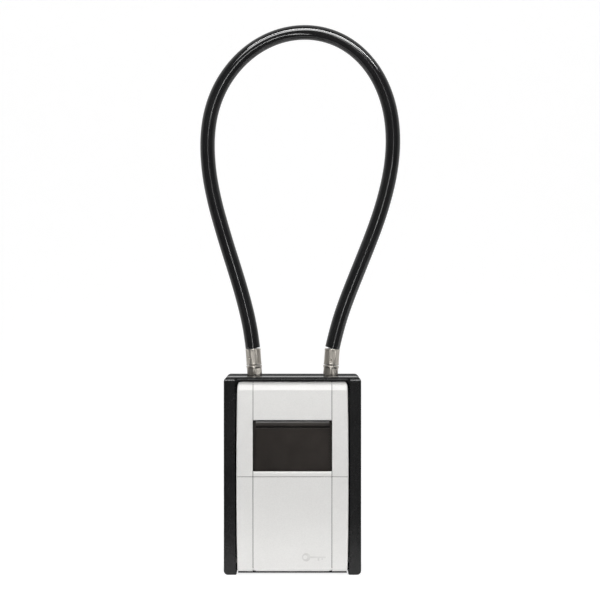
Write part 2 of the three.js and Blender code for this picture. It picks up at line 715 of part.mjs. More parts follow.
keyBox.add(cableGroup);
piece('cable_sheath', cableSheath(), 'sheath', cableGroup);
piece('cable_core', cableCore(), 'steel', cableGroup);
for (const [name, side] of SIDES) {
  piece(`crimp_sleeve_${name}`, crimpSleeve(side), 'ferrule', cableGroup);
  piece(`end_fitting_${name}`, endFitting(side), 'steel', cableGroup);
}
piece('retaining_clip', retainingClip(), 'spring', cableGroup);
piece('cable_release_slider', cableReleaseSlider(), 'steel');

export default keyBox;
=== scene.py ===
import json
import math

import bmesh
import bpy
from mathutils import Matrix, Vector


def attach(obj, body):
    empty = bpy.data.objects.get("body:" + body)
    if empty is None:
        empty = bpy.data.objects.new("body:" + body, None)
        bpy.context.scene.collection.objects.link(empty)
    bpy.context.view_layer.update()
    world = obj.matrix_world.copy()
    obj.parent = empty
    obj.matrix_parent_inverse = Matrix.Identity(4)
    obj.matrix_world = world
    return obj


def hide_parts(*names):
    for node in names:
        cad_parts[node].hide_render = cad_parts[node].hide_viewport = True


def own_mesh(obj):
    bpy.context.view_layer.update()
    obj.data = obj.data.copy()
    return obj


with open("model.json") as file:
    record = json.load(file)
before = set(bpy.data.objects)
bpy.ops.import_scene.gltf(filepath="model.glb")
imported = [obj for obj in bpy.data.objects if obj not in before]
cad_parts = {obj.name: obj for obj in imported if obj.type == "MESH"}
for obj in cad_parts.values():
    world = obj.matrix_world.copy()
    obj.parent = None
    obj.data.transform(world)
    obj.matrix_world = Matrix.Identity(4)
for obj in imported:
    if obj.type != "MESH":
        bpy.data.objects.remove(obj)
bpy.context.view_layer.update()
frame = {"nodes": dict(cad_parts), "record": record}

MM = 0.001
scene = bpy.context.scene
BODY_OF = {n: b for b, ns in frame["record"]["behaviour"]["bodies"].items() for n in ns}
SLOT_OF = {s["node"]: s["material_slot"] for s in frame["record"]["subparts"]}


# =====================================================================
# mesh helpers: everything is modelled in millimetres and scaled at the end
# =====================================================================
def temp(name, verts, faces):
    me = bpy.data.meshes.new(name)
    me.from_pydata([tuple(v) for v in verts], [], faces)
    me.update()
    bm = bmesh.new()
    bm.from_mesh(me)
    bmesh.ops.remove_doubles(bm, verts=bm.verts, dist=1e-4)
    bmesh.ops.recalc_face_normals(bm, faces=bm.faces)
    bm.to_mesh(me)
    bm.free()
    o = bpy.data.objects.new(name, me)
    scene.collection.objects.link(o)
    return o


def bake(o):
    bpy.context.view_layer.update()
    dg = bpy.context.evaluated_depsgraph_get()
    me = bpy.data.meshes.new_from_object(o.evaluated_get(dg))
    o.modifiers.clear()
    old = o.data
    o.data = me
    if old.users == 0:
        bpy.data.meshes.remove(old)
    return o


def drop(o):
    me = o.data
    bpy.data.objects.remove(o)
    if me.users == 0:
        bpy.data.meshes.remove(me)


def boolean(o, cutters, op="DIFFERENCE"):
    if not isinstance(cutters, (list, tuple)):
        cutters = [cutters]
    for c in cutters:
        m = o.modifiers.new("b", "BOOLEAN")
        m.operation = op
        m.solver = "EXACT"
        m.object = c
        bake(o)
    for c in cutters:
        drop(c)
    return o


def bevel(o, width, segments=3, angle=40, profile=0.5):
    m = o.modifiers.new("v", "BEVEL")
    m.width = width
    m.segments = segments
    m.limit_method = "ANGLE"
    m.angle_limit = math.radians(angle)
    m.use_clamp_overlap = True
    m.profile = profile
    m.harden_normals = False
    return bake(o)


def clean(o, angle=0.6, dist=2e-4):
    bm = bmesh.new()
    bm.from_mesh(o.data)
    bmesh.ops.remove_doubles(bm, verts=bm.verts, dist=dist)
    bmesh.ops.dissolve_limit(bm, angle_limit=math.radians(angle), verts=bm.verts, edges=bm.edges)
    bm.to_mesh(o.data)
    bm.free()
    return o


def finish_piece(o, name, body, slot, material, replaces=(), sharp=32, weighted=True, crease=None):
    o.name = name
    o.data.name = name
    o.data.transform(Matrix.Scale(MM, 4))
    for p in o.data.polygons:
        p.use_smooth = True
    o.data.set_sharp_from_angle(angle=math.radians(sharp))
    if crease:
        at = [v.co / MM for v in o.data.vertices]
        for e in o.data.edges:
            a, b = at[e.vertices[0]], at[e.vertices[1]]
            if crease(a, b):
                e.use_edge_sharp = True
    o.data.materials.clear()
    o.data.materials.append(material)
    for p in o.data.polygons:
        p.material_index = 0
    if weighted:
        m = o.modifiers.new("n", "WEIGHTED_NORMAL")
        m.keep_sharp = True
        m.weight = 50
    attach(o, body)
    if replaces:
        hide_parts(*replaces)
    return o


def refine(node, material, width=0.25, segments=2, angle=38, sharp=32):
    """A finished copy of a CAD node: welded, coplanar faces joined, edges rounded, smooth."""
    me = frame["nodes"][node].data.copy()
    me.transform(Matrix.Scale(1 / MM, 4))
    o = bpy.data.objects.new(node + "_fine", me)
    scene.collection.objects.link(o)
    for name in [a.name for a in me.attributes if a.name.startswith("custom_normal")]:
        me.attributes.remove(me.attributes[name])
    clean(o)
    if width:
        bevel(o, width, segments, angle)
    return finish_piece(o, node + "_fine", BODY_OF[node], SLOT_OF[node], material, [node], sharp)


# ---- closed primitives along the axes -------------------------------------------------
def rings(name, loops):
    """Closed solid lofted through equal-length loops, with end caps."""
    n = len(loops[0])
    verts = [v for loop in loops for v in loop]
    faces = []
    for i in range(len(loops) - 1):
        for j in range(n):
            a, b = i * n + j, i * n + (j + 1) % n
            faces.append((a, b, b + n, a + n))
    faces.append(tuple(reversed(range(n))))
    faces.append(tuple(range((len(loops) - 1) * n, len(loops) * n)))
    return temp(name, verts, faces)


def prism_y(pts, y0, y1):
    return rings("prism", [[(x, y0, z) for x, z in pts], [(x, y1, z) for x, z in pts]])


def prism_x(pts, x0, x1):
    return rings("prism", [[(x0, y, z) for y, z in pts], [(x1, y, z) for y, z in pts]])


def prism_z(pts, z0, z1):
    return rings("prism", [[(x, y, z0) for x, y in pts], [(x, y, z1) for x, y in pts]])


def block(x0, x1, y0, y1, z0, z1):
    return prism_z([(x0, y0), (x1, y0), (x1, y1), (x0, y1)], z0, z1)


def round_rect(x0, x1, z0, z1, rb, rt=None, n=8):
    rt = rb if rt is None else rt
    pts = []
    for cx, cz, r, a0 in ((x1 - rb, z0 + rb, rb, -90), (x1 - rt, z1 - rt, rt, 0),
                          (x0 + rt, z1 - rt, rt, 90), (x0 + rb, z0 + rb, rb, 180)):
        for i in range(n + 1):
            a = math.radians(a0 + 90 * i / n)
            pts.append((cx + max(r, 1e-3) * math.cos(a), cz + max(r, 1e-3) * math.sin(a)))
    return pts


def circle(r, n, c=(0, 0), a0=0.0):
    return [(c[0] + r * math.cos(a0 + 2 * math.pi * i / n), c[1] + r * math.sin(a0 + 2 * math.pi * i / n)) for i in range(n)]


def lathe(profile, n, place, wobble=None):
    """profile [(r, h)] turned about an axis; place maps (a, b, h) to a point. wobble(theta, r, h) -> r."""
    loops = []
    for r, h in profile:
        loop = []
        for i in range(n):
            t = 2 * math.pi * i / n
            rr = wobble(t, r, h) if wobble else r
            loop.append(place(rr * math.cos(t), rr * math.sin(t), h))
        loops.append(loop)
    return rings("lathe", loops)


def about_x(cy, cz):
    return lambda a, b, h: (h, cy + a, cz + b)


def about_y(cx, cz):
    return lambda a, b, h: (cx + b, h, cz + a)


def about_z(cx, cy):
    return lambda a, b, h: (cx + a, cy + b, h)


def rod(r, h0, h1, place, n=64, edge=0.15):
    e = min(edge, (h1 - h0) / 3, r / 3)
    prof = [(r - e, h0), (r - 0.3 * e, h0 + 0.3 * e), (r, h0 + e), (r, h1 - e), (r - 0.3 * e, h1 - 0.3 * e), (r - e, h1)]
    return lathe(prof, n, place)


# =====================================================================
# procedural materials
# =====================================================================
class Nodes:
    def __init__(self, name):
        self.m = bpy.data.materials.new(name)
        self.m.use_nodes = True
        self.t = self.m.node_tree
        self.t.nodes.clear()
        self.out = self.n("ShaderNodeOutputMaterial")
        self.p = self.n("ShaderNodeBsdfPrincipled")
        self.link(self.p.outputs[0], self.out.inputs[0])
        self.tc = self.n("ShaderNodeTexCoord")

    def n(self, kind, **props):
        x = self.t.nodes.new(kind)
        for k, v in props.items():
            setattr(x, k, v)
        return x

    def link(self, a, b):
        self.t.links.new(a, b)

    def coords(self, scale=(1, 1, 1)):
        mp = self.n("ShaderNodeMapping")
        mp.inputs["Scale"].default_value = scale
        self.link(self.tc.outputs["Object"], mp.inputs["Vector"])
        return mp.outputs[0]

    def noise(self, scale, detail=4, rough=0.55, stretch=(1, 1, 1)):
        x = self.n("ShaderNodeTexNoise")
        x.inputs["Scale"].default_value = scale
        x.inputs["Detail"].default_value = detail
        x.inputs["Roughness"].default_value = rough
        self.link(self.coords(stretch), x.inputs["Vector"])
        return x.outputs["Fac"]

    def voronoi(self, scale, out="Distance", feature="F1"):
        x = self.n("ShaderNodeTexVoronoi", feature=feature)
        x.inputs["Scale"].default_value = scale
        self.link(self.coords(), x.inputs["Vector"])
        return x.outputs[out]

    def remap(self, src, lo, hi, a=0.0, b=1.0):
        x = self.n("ShaderNodeMapRange")
        x.inputs["From Min"].default_value = a
        x.inputs["From Max"].default_value = b
        x.inputs["To Min"].default_value = lo
        x.inputs["To Max"].default_value = hi
        self.link(src, x.inputs["Value"])
        return x.outputs[0]

    def math(self, op, a, b):
        x = self.n("ShaderNodeMath", operation=op)
        for i, v in enumerate((a, b)):
            if isinstance(v, (int, float)):
                x.inputs[i].default_value = v
            else:
                self.link(v, x.inputs[i])
        return x.outputs[0]

    def mix(self, fac, a, b):
        x = self.n("ShaderNodeMix", data_type="RGBA")
        if isinstance(fac, (int, float)):
            x.inputs[0].default_value = fac
        else:
            self.link(fac, x.inputs[0])
        for sock, v in ((x.inputs[6], a), (x.inputs[7], b)):
            if isinstance(v, (tuple, list)):
                sock.default_value = (*v[:3], 1)
            else:
                self.link(v, sock)
        return x.outputs[2]

    def edge(self, lo=0.52, hi=0.6):
        g = self.n("ShaderNodeNewGeometry")
        return self.remap(g.outputs["Pointiness"], 0.0, 1.0, lo, hi)

    def bump(self, height, strength, distance, chain=None):
        b = self.n("ShaderNodeBump")
        b.inputs["Strength"].default_value = strength
        b.inputs["Distance"].default_value = distance
        self.link(height, b.inputs["Height"])
        if chain is not None:
            self.link(chain, b.inputs["Normal"])
        return b.outputs[0]

    def set(self, **kw):
        for k, v in kw.items():
            s = self.p.inputs[k.replace("_", " ")]
            if isinstance(v, (int, float)):
                s.default_value = v
            elif isinstance(v, (tuple, list)):
                s.default_value = (*v[:3], 1) if len(s.default_value) == 4 else v
            else:
                self.link(v, s)


def silver_paint():
    m = Nodes("silver_paint")
    flake = m.voronoi(2600, "Color")
    sep = m.n("ShaderNodeSeparateColor")
    m.link(flake, sep.inputs[0])
    cloud = m.noise(90, 3)
    tone = m.math("ADD", m.remap(sep.outputs[0], -0.02, 0.02), m.remap(cloud, -0.006, 0.006, 0.3, 0.7))
    v = m.math("ADD", 0.60, tone)
    rgb = m.n("ShaderNodeCombineColor")
    m.link(v, rgb.inputs[0])
    m.link(m.math("MULTIPLY", v, 0.991), rgb.inputs[1])
    m.link(m.math("MULTIPLY", v, 0.972), rgb.inputs[2])
    wear = m.edge(0.56, 0.66)
    m.link(m.mix(m.math("MULTIPLY", wear, 0.15), rgb.outputs[0], (0.78, 0.78, 0.78)), m.p.inputs["Base Color"])
    m.set(Metallic=0.35, Roughness=m.math("ADD", m.remap(m.noise(700, 4), 0.31, 0.38, 0.3, 0.7), m.remap(sep.outputs[1], -0.03, 0.03)))
    m.p.inputs["Coat Weight"].default_value = 0.15
    m.p.inputs["Coat Roughness"].default_value = 0.25
    grain = m.bump(sep.outputs[2], 0.05, 0.00001)
    peel = m.bump(m.noise(420, 2), 0.08, 0.00003, grain)
    m.link(peel, m.p.inputs["Normal"])
    return m.m


def moulded(name, base, rough, grain=1600, depth=0.00004, strength=0.35, spec=0.5, wear=0.5, tint=None, scuffs=1.0, matt_behind=None):
    m = Nodes(name)
    cloud = m.remap(m.noise(45, 4), 0.0, 1.0, 0.35, 0.65)
    dark = tuple(c * 0.82 for c in base)
    light = tuple(min(1, c * 1.22 + 0.002) for c in base)
    col = m.mix(cloud, dark, light)
    worn = tint or tuple(min(1, c * 2.6 + 0.012) for c in base)
    col = m.mix(m.math("MULTIPLY", m.edge(0.53, 0.64), wear), col, worn)
    m.link(col, m.p.inputs["Base Color"])
    scuff = m.remap(m.noise(260, 8, 0.7, (1, 1, 0.6)), -0.06 * scuffs, 0.08 * scuffs, 0.35, 0.65)
    rough = m.math("ADD", rough, scuff)
    if matt_behind is None:
        m.p.inputs["Specular IOR Level"].default_value = spec
    else:
        # the part nearer the wall has a matt, textured finish
        sep = m.n("ShaderNodeSeparateXYZ")
        m.link(m.coords(), sep.inputs[0])
        back = m.remap(sep.outputs[1], 0.0, 1.0, matt_behind - 0.0006, matt_behind + 0.0006)
        rough = m.math("ADD", rough, m.math("MULTIPLY", back, 0.5))
        m.link(m.math("SUBTRACT", spec, m.math("MULTIPLY", back, spec - 0.06)), m.p.inputs["Specular IOR Level"])
    m.set(Roughness=rough)
    h = m.math("ADD", m.voronoi(grain), m.math("MULTIPLY", m.noise(grain * 0.45, 3), 0.8))
    m.link(m.bump(h, strength, depth), m.p.inputs["Normal"])
    return m.m


def metal(name, base, rough, brush=(1, 1, 0.03), scale=2200, strength=0.18, warm=None, aniso=0.0):
    m = Nodes(name)
    streak = m.noise(scale, 3, 0.6, brush)
    cloud = m.noise(130, 5, 0.6)
    a = tuple(c * 0.80 for c in base)
    b = tuple(min(1, c * 1.12) for c in base)
    col = m.mix(m.remap(streak, 0, 1, 0.3, 0.7), a, b)
    col = m.mix(m.remap(cloud, 0, 0.35, 0.45, 0.75), col, warm or tuple(c * 0.7 for c in base))
    m.link(m.mix(m.math("MULTIPLY", m.edge(0.53, 0.62), 0.5), col, tuple(min(1, c * 1.35) for c in base)), m.p.inputs["Base Color"])
    m.set(Metallic=1.0, Roughness=m.math("ADD", rough, m.remap(streak, -0.08, 0.10, 0.3, 0.7)))
    h = m.math("ADD", streak, m.math("MULTIPLY", m.noise(900, 3), 0.6))
    m.link(m.bump(h, strength, 0.00002), m.p.inputs["Normal"])
    return m.m


def vinyl():
    m = Nodes("vinyl_sheath")
    cloud = m.remap(m.noise(60, 3), 0.0, 1.0, 0.35, 0.65)
    m.link(m.mix(cloud, (0.0025, 0.0025, 0.0027), (0.0045, 0.0045, 0.0047)), m.p.inputs["Base Color"])
    at = m.n("ShaderNodeAttribute", attribute_name="lay")
    def laid(scale, detail):
        x = m.n("ShaderNodeTexNoise")
        x.inputs["Scale"].default_value = scale
        x.inputs["Detail"].default_value = detail
        x.inputs["Roughness"].default_value = 0.6
        m.link(at.outputs["Vector"], x.inputs["Vector"])
        return x.outputs["Fac"]
    m.set(Roughness=m.math("ADD", m.remap(m.noise(380, 6, 0.65), 0.06, 0.10, 0.3, 0.7), m.remap(laid(5.0, 3), -0.01, 0.02, 0.35, 0.65)))
    m.p.inputs["Specular IOR Level"].default_value = 0.45
    a = m.bump(laid(2.4, 2), 0.16, 0.0005)
    m.link(m.bump(m.noise(150, 3), 0.03, 0.00010, a), m.p.inputs["Normal"])
    return m.m


SILVER = silver_paint()
BUMPER = moulded("bumper_black", (0.0032, 0.0032, 0.0033), 0.26, grain=1500, depth=0.00001, strength=0.10, spec=0.45, wear=0.10, scuffs=0.35, matt_behind=-0.033)
CAST = moulded("cast_black", (0.009, 0.009, 0.0095), 0.62, grain=900, depth=0.00005, strength=0.45, spec=0.2, wear=0.4, tint=(0.05, 0.05, 0.05))
TRAY = moulded("tray_black", (0.012, 0.012, 0.013), 0.48, grain=1800, depth=0.00003, strength=0.30, spec=0.4, wear=0.4)
SHUTTER = moulded("shutter_grey", (0.0150, 0.0118, 0.0098), 0.36, grain=2200, depth=0.00002, strength=0.22, spec=0.32, wear=0.30)
DIAL = moulded("dial_black", (0.010, 0.010, 0.011), 0.30, grain=2600, depth=0.00001, strength=0.2, spec=0.5, wear=0.4)
RUBBER = moulded("rubber_black", (0.016, 0.016, 0.0165), 0.78, grain=1100, depth=0.00006, strength=0.5, spec=0.3, wear=0.2)
INK = moulded("digit_white", (0.80, 0.80, 0.78), 0.5, grain=3000, depth=0.00001, strength=0.1, wear=0.0)
STEEL = metal("steel", (0.56, 0.555, 0.54), 0.30)
ZINC = metal("zinc_cast", (0.45, 0.45, 0.44), 0.46, brush=(1, 1, 1), scale=500, strength=0.3)
SPRING = metal("spring_steel", (0.62, 0.61, 0.58), 0.24, brush=(1, 1, 1), scale=900, strength=0.08)
FERRULE = metal("ferrule_steel", (0.50, 0.47, 0.425), 0.40, brush=(1, 1, 0.06), scale=900, strength=0.22, warm=(0.30, 0.275, 0.235))
BRASS = metal("brass", (0.66, 0.50, 0.26), 0.32, brush=(1, 0.06, 1), scale=1600, strength=0.15)
SHEATH = vinyl()
EMBLEM = moulded("emblem_tone", (0.50, 0.495, 0.485), 0.6, grain=2000, depth=0.00002, strength=0.2, spec=0.3, wear=0.0)
JOINT = moulded("joint_shadow", (0.020, 0.020, 0.020), 0.7, grain=2000, depth=0.00002, strength=0.2, spec=0.2, wear=0.0)
# painted shade: near-black colour standing in for the shade in the shutter's recessed side margins and in the gap above
# its finger ridge
SHUTTER_RECESS_SHADE = moulded("shutter_recess_painted_shade", (0.004, 0.004, 0.004), 0.6, grain=1800, depth=0.00002, strength=0.2, spec=0.2, wear=0.0)

# =====================================================================
# front cover
# =====================================================================
FRONT, TOP, BOTTOM, HALF = -50.0, 56.2, -56.95, 33.4
CROWN = 1 / 2240.0
WIN_X, WIN_0, WIN_1, SEAM = 23.5, 2.9, 33.4, -0.3


def cover_half(z):
    h = HALF - 0.00016 * z * z
    if z > 52.2:
        t = min(1.0, (z - 52.2) / 4.0)
        h -= 1.3 * (1 - math.sqrt(max(0.0, 1 - t * t)))
    if z < -54.95:
        t = min(1.0, (-54.95 - z) / 2.0)
        h -= 0.5 * (1 - math.sqrt(max(0.0, 1 - t * t)))
    return h


def cover_rows():
    """points (y, z, ny, nz) along the cover's section, from the lower back edge over the front to the upper back edge"""
    rows = []
    yb = FRONT + 54.95 ** 2 * CROWN
    rows.append((-45.30, BOTTOM, 0, -1))
    for i in range(0, 11):
        a = math.pi / 2 * i / 10
        y = yb + 2.0 - 2.0 * math.sin(a)
        z = -54.95 - 2.0 * math.cos(a)
        n = Vector((-math.sin(a), -math.cos(a)))
        rows.append((y, z, n.x, n.y))
    zs = [-54.0, -53.0, -51.5, -49, -46, -43, -40, -36, -32, -28, -24, -20, -16, -12, -8, -5, -3, -1.6]
    zs += [SEAM - 0.75, SEAM - 0.55, SEAM - 0.42, SEAM - 0.28, SEAM - 0.12, SEAM + 0.12, SEAM + 0.28, SEAM + 0.42, SEAM + 0.55, SEAM + 0.75]
    zs += [0.7, 1.1, 1.5, 1.9, 2.1, 2.3, 2.5, 2.7, 2.85, 3.0, 3.15, 4.5, 7, 11, 15, 19, 23, 27, 31, 33.1, 33.45, 33.6, 33.75, 33.95, 34.3, 36, 39, 42, 45, 47.5, 49.5, 50.6]
    for z in zs:
        n = Vector((-1, 2 * z * CROWN)).normalized()
        rows.append((FRONT + z * z * CROWN, z, n.x, n.y))
    # shallow chamfer under the top edge, then the roll-over
    zk = 51.2
    yk = FRONT + zk * zk * CROWN
    slope0, slope1 = 2 * zk * CROWN, math.tan(math.radians(10.5))
    pts = []
    for i in range(0, 7):
        t = i / 6
        z = zk - 0.30 + 0.60 * t
        y = yk + slope0 * (z - zk) + (slope1 - slope0) * 0.5 * 0.60 * t * t
        sl = slope0 + (slope1 - slope0) * t
        pts.append((y, z, sl))
    y0, z0 = pts[-1][0], pts[-1][1]
    for z in (52.0, 52.6, 53.2, 53.7):
        pts.append((y0 + slope1 * (z - z0), z, slope1))
    ys, zs0 = pts[-1][0] + slope1 * 0.25, 53.95
    a_z, a_y = TOP - zs0, -46.42 - ys
    t0 = math.radians(20)
    for i in range(0, 15):
        a = t0 + (math.pi / 2 - t0) * i / 14
        u = (math.sin(a) - math.sin(t0)) / (1 - math.sin(t0))
        v = (math.cos(t0) - math.cos(a)) / math.cos(t0)
        z = zs0 + a_z * u
        y = ys + a_y * v
        dy, dz = a_y * math.sin(a) / math.cos(t0), a_z * math.cos(a) / (1 - math.sin(t0))
        pts.append((y, z, dy / max(dz, 1e-6)))
    for y, z, sl in pts:
        n = Vector((-1, sl)).normalized()
        rows.append((y, z, n.x, n.y))
    rows.append((-45.26, TOP, 0, 1))
    return rows


def cover_depth(x, z):
    ax = abs(x)
    d = 0.0
    # rounded lower corners of the centre panel
    if ax < WIN_X and ax > WIN_X - 1.7 and z < -54.7:
        r = math.hypot(ax - (WIN_X - 1.7), z + 54.7)
        d = max(d, 0.38 * min(1.0, max(0.0, (r - 1.35) / 0.5)))
    # sill under the window catches the light, head above it is only eased
    if ax < WIN_X + 0.2:
        if 1.9 <= z <= 4:
            d = max(d, 0.15 * min(1.0, (z - 1.9) / 0.8) + 0.40 * min(1.0, max(0.0, (z - 2.7) / 0.45)))
        if 33.0 <= z < 34.0:
            d = max(d, 0.22 * (1 - (z - 33.3) / 0.7) if z > 33.3 else 0.22)
    return d


SLOT = 0.17
COVER_COLS = [0.0, 18.0, 36.0, 54.0, 72.0, 90.0]


def cover_block(raise_by=0.0, plain=False):
    inner = [0, 3, 6, 9, 12, 15, 17.5, 19.5, 20.8, 21.8, 22.2, 22.55, 22.85]
    near = [22.88, 23.0, 23.12, 23.24, 23.36, 23.5, 23.64, 23.76, 23.88, 24.0, 24.12, 24.3]
    flat = inner[:-1] + near
    cols = [("f", -v) for v in reversed(flat) if v > 0] + [("f", v) for v in flat]
    out = [("o", 0.25), ("o", 0.5), ("o", 0.75), ("o", 0.9)]
    cols = [("r", -a) for a in reversed(COVER_COLS)] + [("o", -f) for _, f in reversed(out)] + cols + out + [("r", a) for a in COVER_COLS]
    left = [("r", a) for a in reversed(COVER_COLS)]
    cols = [("L",) + c for c in left] + [("l", "o", f) for _, f in reversed(out)] + [("c", "f", -v) for v in reversed(flat) if v > 0] \
        + [("c", "f", v) for v in flat] + [("q", "o", f) for _, f in out] + [("R", "r", a) for a in COVER_COLS]
    r = 0.75
    verts, ncol = [], len(cols)
    rows = cover_rows()
    for (y, z, ny, nz) in rows:
        half = cover_half(z)
        for c in cols:
            side = -1 if c[0] in "Ll" else 1
            inset = -raise_by
            if c[1] == "f":
                x = c[2]
                if not plain:
                    inset += cover_depth(x, z)
            elif c[1] == "o":
                x = side * (24.3 + (half - r - 24.3) * c[2])
            else:
                a = math.radians(c[2])
                x = side * (half - r + r * math.sin(a))
                inset += r * (1 - math.cos(a))
            verts.append((x, y - ny * inset, z - nz * inset))
    faces = []
    n = len(rows)
    for j in range(n - 1):
        for i in range(ncol - 1):
            a = j * ncol + i
            faces.append((a, a + 1, a + 1 + ncol, a + ncol))
    faces.append(tuple(j * ncol for j in range(n)))
    faces.append(tuple(j * ncol + ncol - 1 for j in reversed(range(n))))
    faces.append(tuple([i for i in reversed(range(ncol))] + [(n - 1) * ncol + i for i in range(ncol)]))
    return temp("cover", verts, faces)


def cover_inner():
    rows = []
    t = 1.2
    for (y, z, ny, nz) in cover_rows():
        if -45.4 < y < -45.2:
            continue
        rows.append((y - ny * t, z - nz * t))
    rows = [(-42.0, BOTTOM + t)] + rows + [(-42.0, TOP - t)]
    # side walls 1.5 thick that follow the barrel shape
    xs = [-1, 1]
    verts = []
    for (y, z) in rows:
        half = HALF - 0.00016 * z * z - 1.5
        for s in xs:
            verts.append((s * half, y, z))
    n = len(rows)
    faces = [(2 * j, 2 * j + 1, 2 * j + 3, 2 * j + 2) for j in range(n - 1)]
    faces.append(tuple(2 * j for j in range(n)))
    faces.append(tuple(2 * j + 1 for j in reversed(range(n))))
    faces.append((1, 0, 2 * (n - 1), 2 * (n - 1) + 1))
    return temp("inner", verts, faces)


def surface_y(z):
    """front surface of the plain cover at a height"""
    rows = cover_rows()
    for (y0, z0, _, _), (y1, z1, _, _) in zip(rows, rows[1:]):
        if z0 <= z <= z1 and z1 > z0:
            return y0 + (y1 - y0) * (z - z0) / (z1 - z0)
    return -45.3


def in_joint(c, n):
    """faces inside one of the panel joints, by centre and normal"""
    x, y, z = c
    side = abs(abs(x) - WIN_X) < SLOT + 0.02
    seam = abs(z - SEAM) < 0.18 and abs(x) < 32.95
    if not (side or seam):
        return False
    depth = y - surface_y(z)
    if z > 54.2 or z < -54.6:
        return side and abs(n.x) > 0.9 and abs(abs(x) - WIN_X) < SLOT + 0.02
    return 0.04 < depth < 0.9


def paint_faces(o, material, rule):
    o.data.materials.append(material)
    k = len(o.data.materials) - 1
    for p in o.data.polygons:
        if rule(p.center / MM, p.normal):
            p.material_index = k


def build_cover():
    o = cover_block()
    boolean(o, [cover_inner(),
                prism_y(round_rect(-WIN_X + 0.03, WIN_X - 0.03, WIN_0, WIN_1, 0.7), -60, -40),
                block(-40, 40, -46.0, -38, -60, 54.2)])
    # panel joints: narrow slots that follow the crowned face
    for x0, x1, z0, z1 in ((-WIN_X - SLOT, -WIN_X + SLOT, -60, 60), (WIN_X - SLOT, WIN_X + SLOT, -60, 60), (-32.9, 32.9, SEAM - 0.13, SEAM + 0.13)):
        slab = block(x0, x1, -60, -44, z0, z1)
        boolean(slab, cover_block(-0.75, plain=True))
        boolean(o, slab)
    # raised key pictogram, a quarter of a millimetre proud of the crowned surface
    bow = prism_y(circle(2.5, 48, (8.2, -48.3)), -52, -47.6)
    boolean(bow, prism_y(circle(1.25, 32, (7.6, -48.3)), -54, -46))
    shaft = prism_y([(10.2, -48.85), (19.6, -48.85), (20.1, -48.3), (19.6, -47.75), (10.2, -47.75)], -52, -47.6)
    t1 = prism_y([(15.0, -50.4), (16.0, -50.4), (16.0, -48.4), (15.0, -48.4)], -52, -47.6)
    t2 = prism_y([(17.3, -50.0), (18.2, -50.0), (18.2, -48.4), (17.3, -48.4)], -52, -47.6)
    boolean(bow, [shaft, t1, t2], "UNION")
    boolean(bow, cover_block(0.24, plain=True), "INTERSECT")
    boolean(o, bow, "UNION")
    finish_piece(o, "front_cover_panel", "door", "silver_paint", SILVER, ["front_cover"], sharp=40,
                 crease=lambda a, b: abs(a.z - b.z) < 0.01 and abs(a.x - b.x) > 0.2 and max(abs(a.x), abs(b.x)) < WIN_X + 0.1
                 and any(abs(a.z - z) < 0.06 for z in (1.9, 2.7)))
    paint_faces(o, JOINT, in_joint)
    paint_faces(o, TRAY, lambda c, n: n.y > 0.3 or (c.y > -47.6 and abs(c.x) < 31.6 and -55.4 < c.z < 54.9))
    paint_faces(o, EMBLEM, lambda c, n: 5.4 < c.x < 20.6 and -51 < c.z < -45.5 and c.y < surface_y(c.z) - 0.1)
    return o


COVER_LIT = [build_cover()]

# =====================================================================
# bumper frame
# =====================================================================
def cover_ring(grow, z_bottom, top=None, n=26):
    """outline of the cover with a margin, as [x, z] counter-clockwise, open below the body"""
    right = []
    zt = TOP + (grow if top is None else top)
    r = 2.6
    for i in range(n + 1):
        z = z_bottom + (zt - r - z_bottom) * i / n
        right.append((HALF - 0.00016 * z * z + grow, z))
    xt = HALF - 0.00016 * zt * zt + grow
    for i in range(1, 11):
        a = math.pi / 2 * i / 10
        right.append((xt - 1.9 + 1.9 * math.cos(a), zt - r + r * math.sin(a)))
    return right + [(-x, z) for x, z in reversed(right)]


def rounded_shell(x, zb, zt, rb, rt, y_front, y_back, edge, n=10, back_edge=0.0):
    loops = []
    for i in range(n + 1):
        a = math.pi / 2 * i / n
        inset = edge * (1 - math.sin(a))
        y = y_front + edge * (1 - math.cos(a))
        loops.append([(px, y, pz) for px, pz in round_rect(-x + inset, x - inset, zb + inset, zt - inset, max(rb - inset, 0.2), max(rt - inset, 0.2), 10)])
    if back_edge:
        for i in range(n + 1):
            a = math.pi / 2 * (1 - i / n)
            inset = back_edge * (1 - math.sin(a))
            y = y_back - back_edge * (1 - math.cos(a))
            loops.append([(px, y, pz) for px, pz in round_rect(-x + inset, x - inset, zb + inset, zt - inset, max(rb - inset, 0.2), max(rt - inset, 0.2), 10)])
    else:
        loops.append([(px, y_back, pz) for px, pz in round_rect(-x, x, zb, zt, rb, rt, 10)])
    return rings("shell", loops)


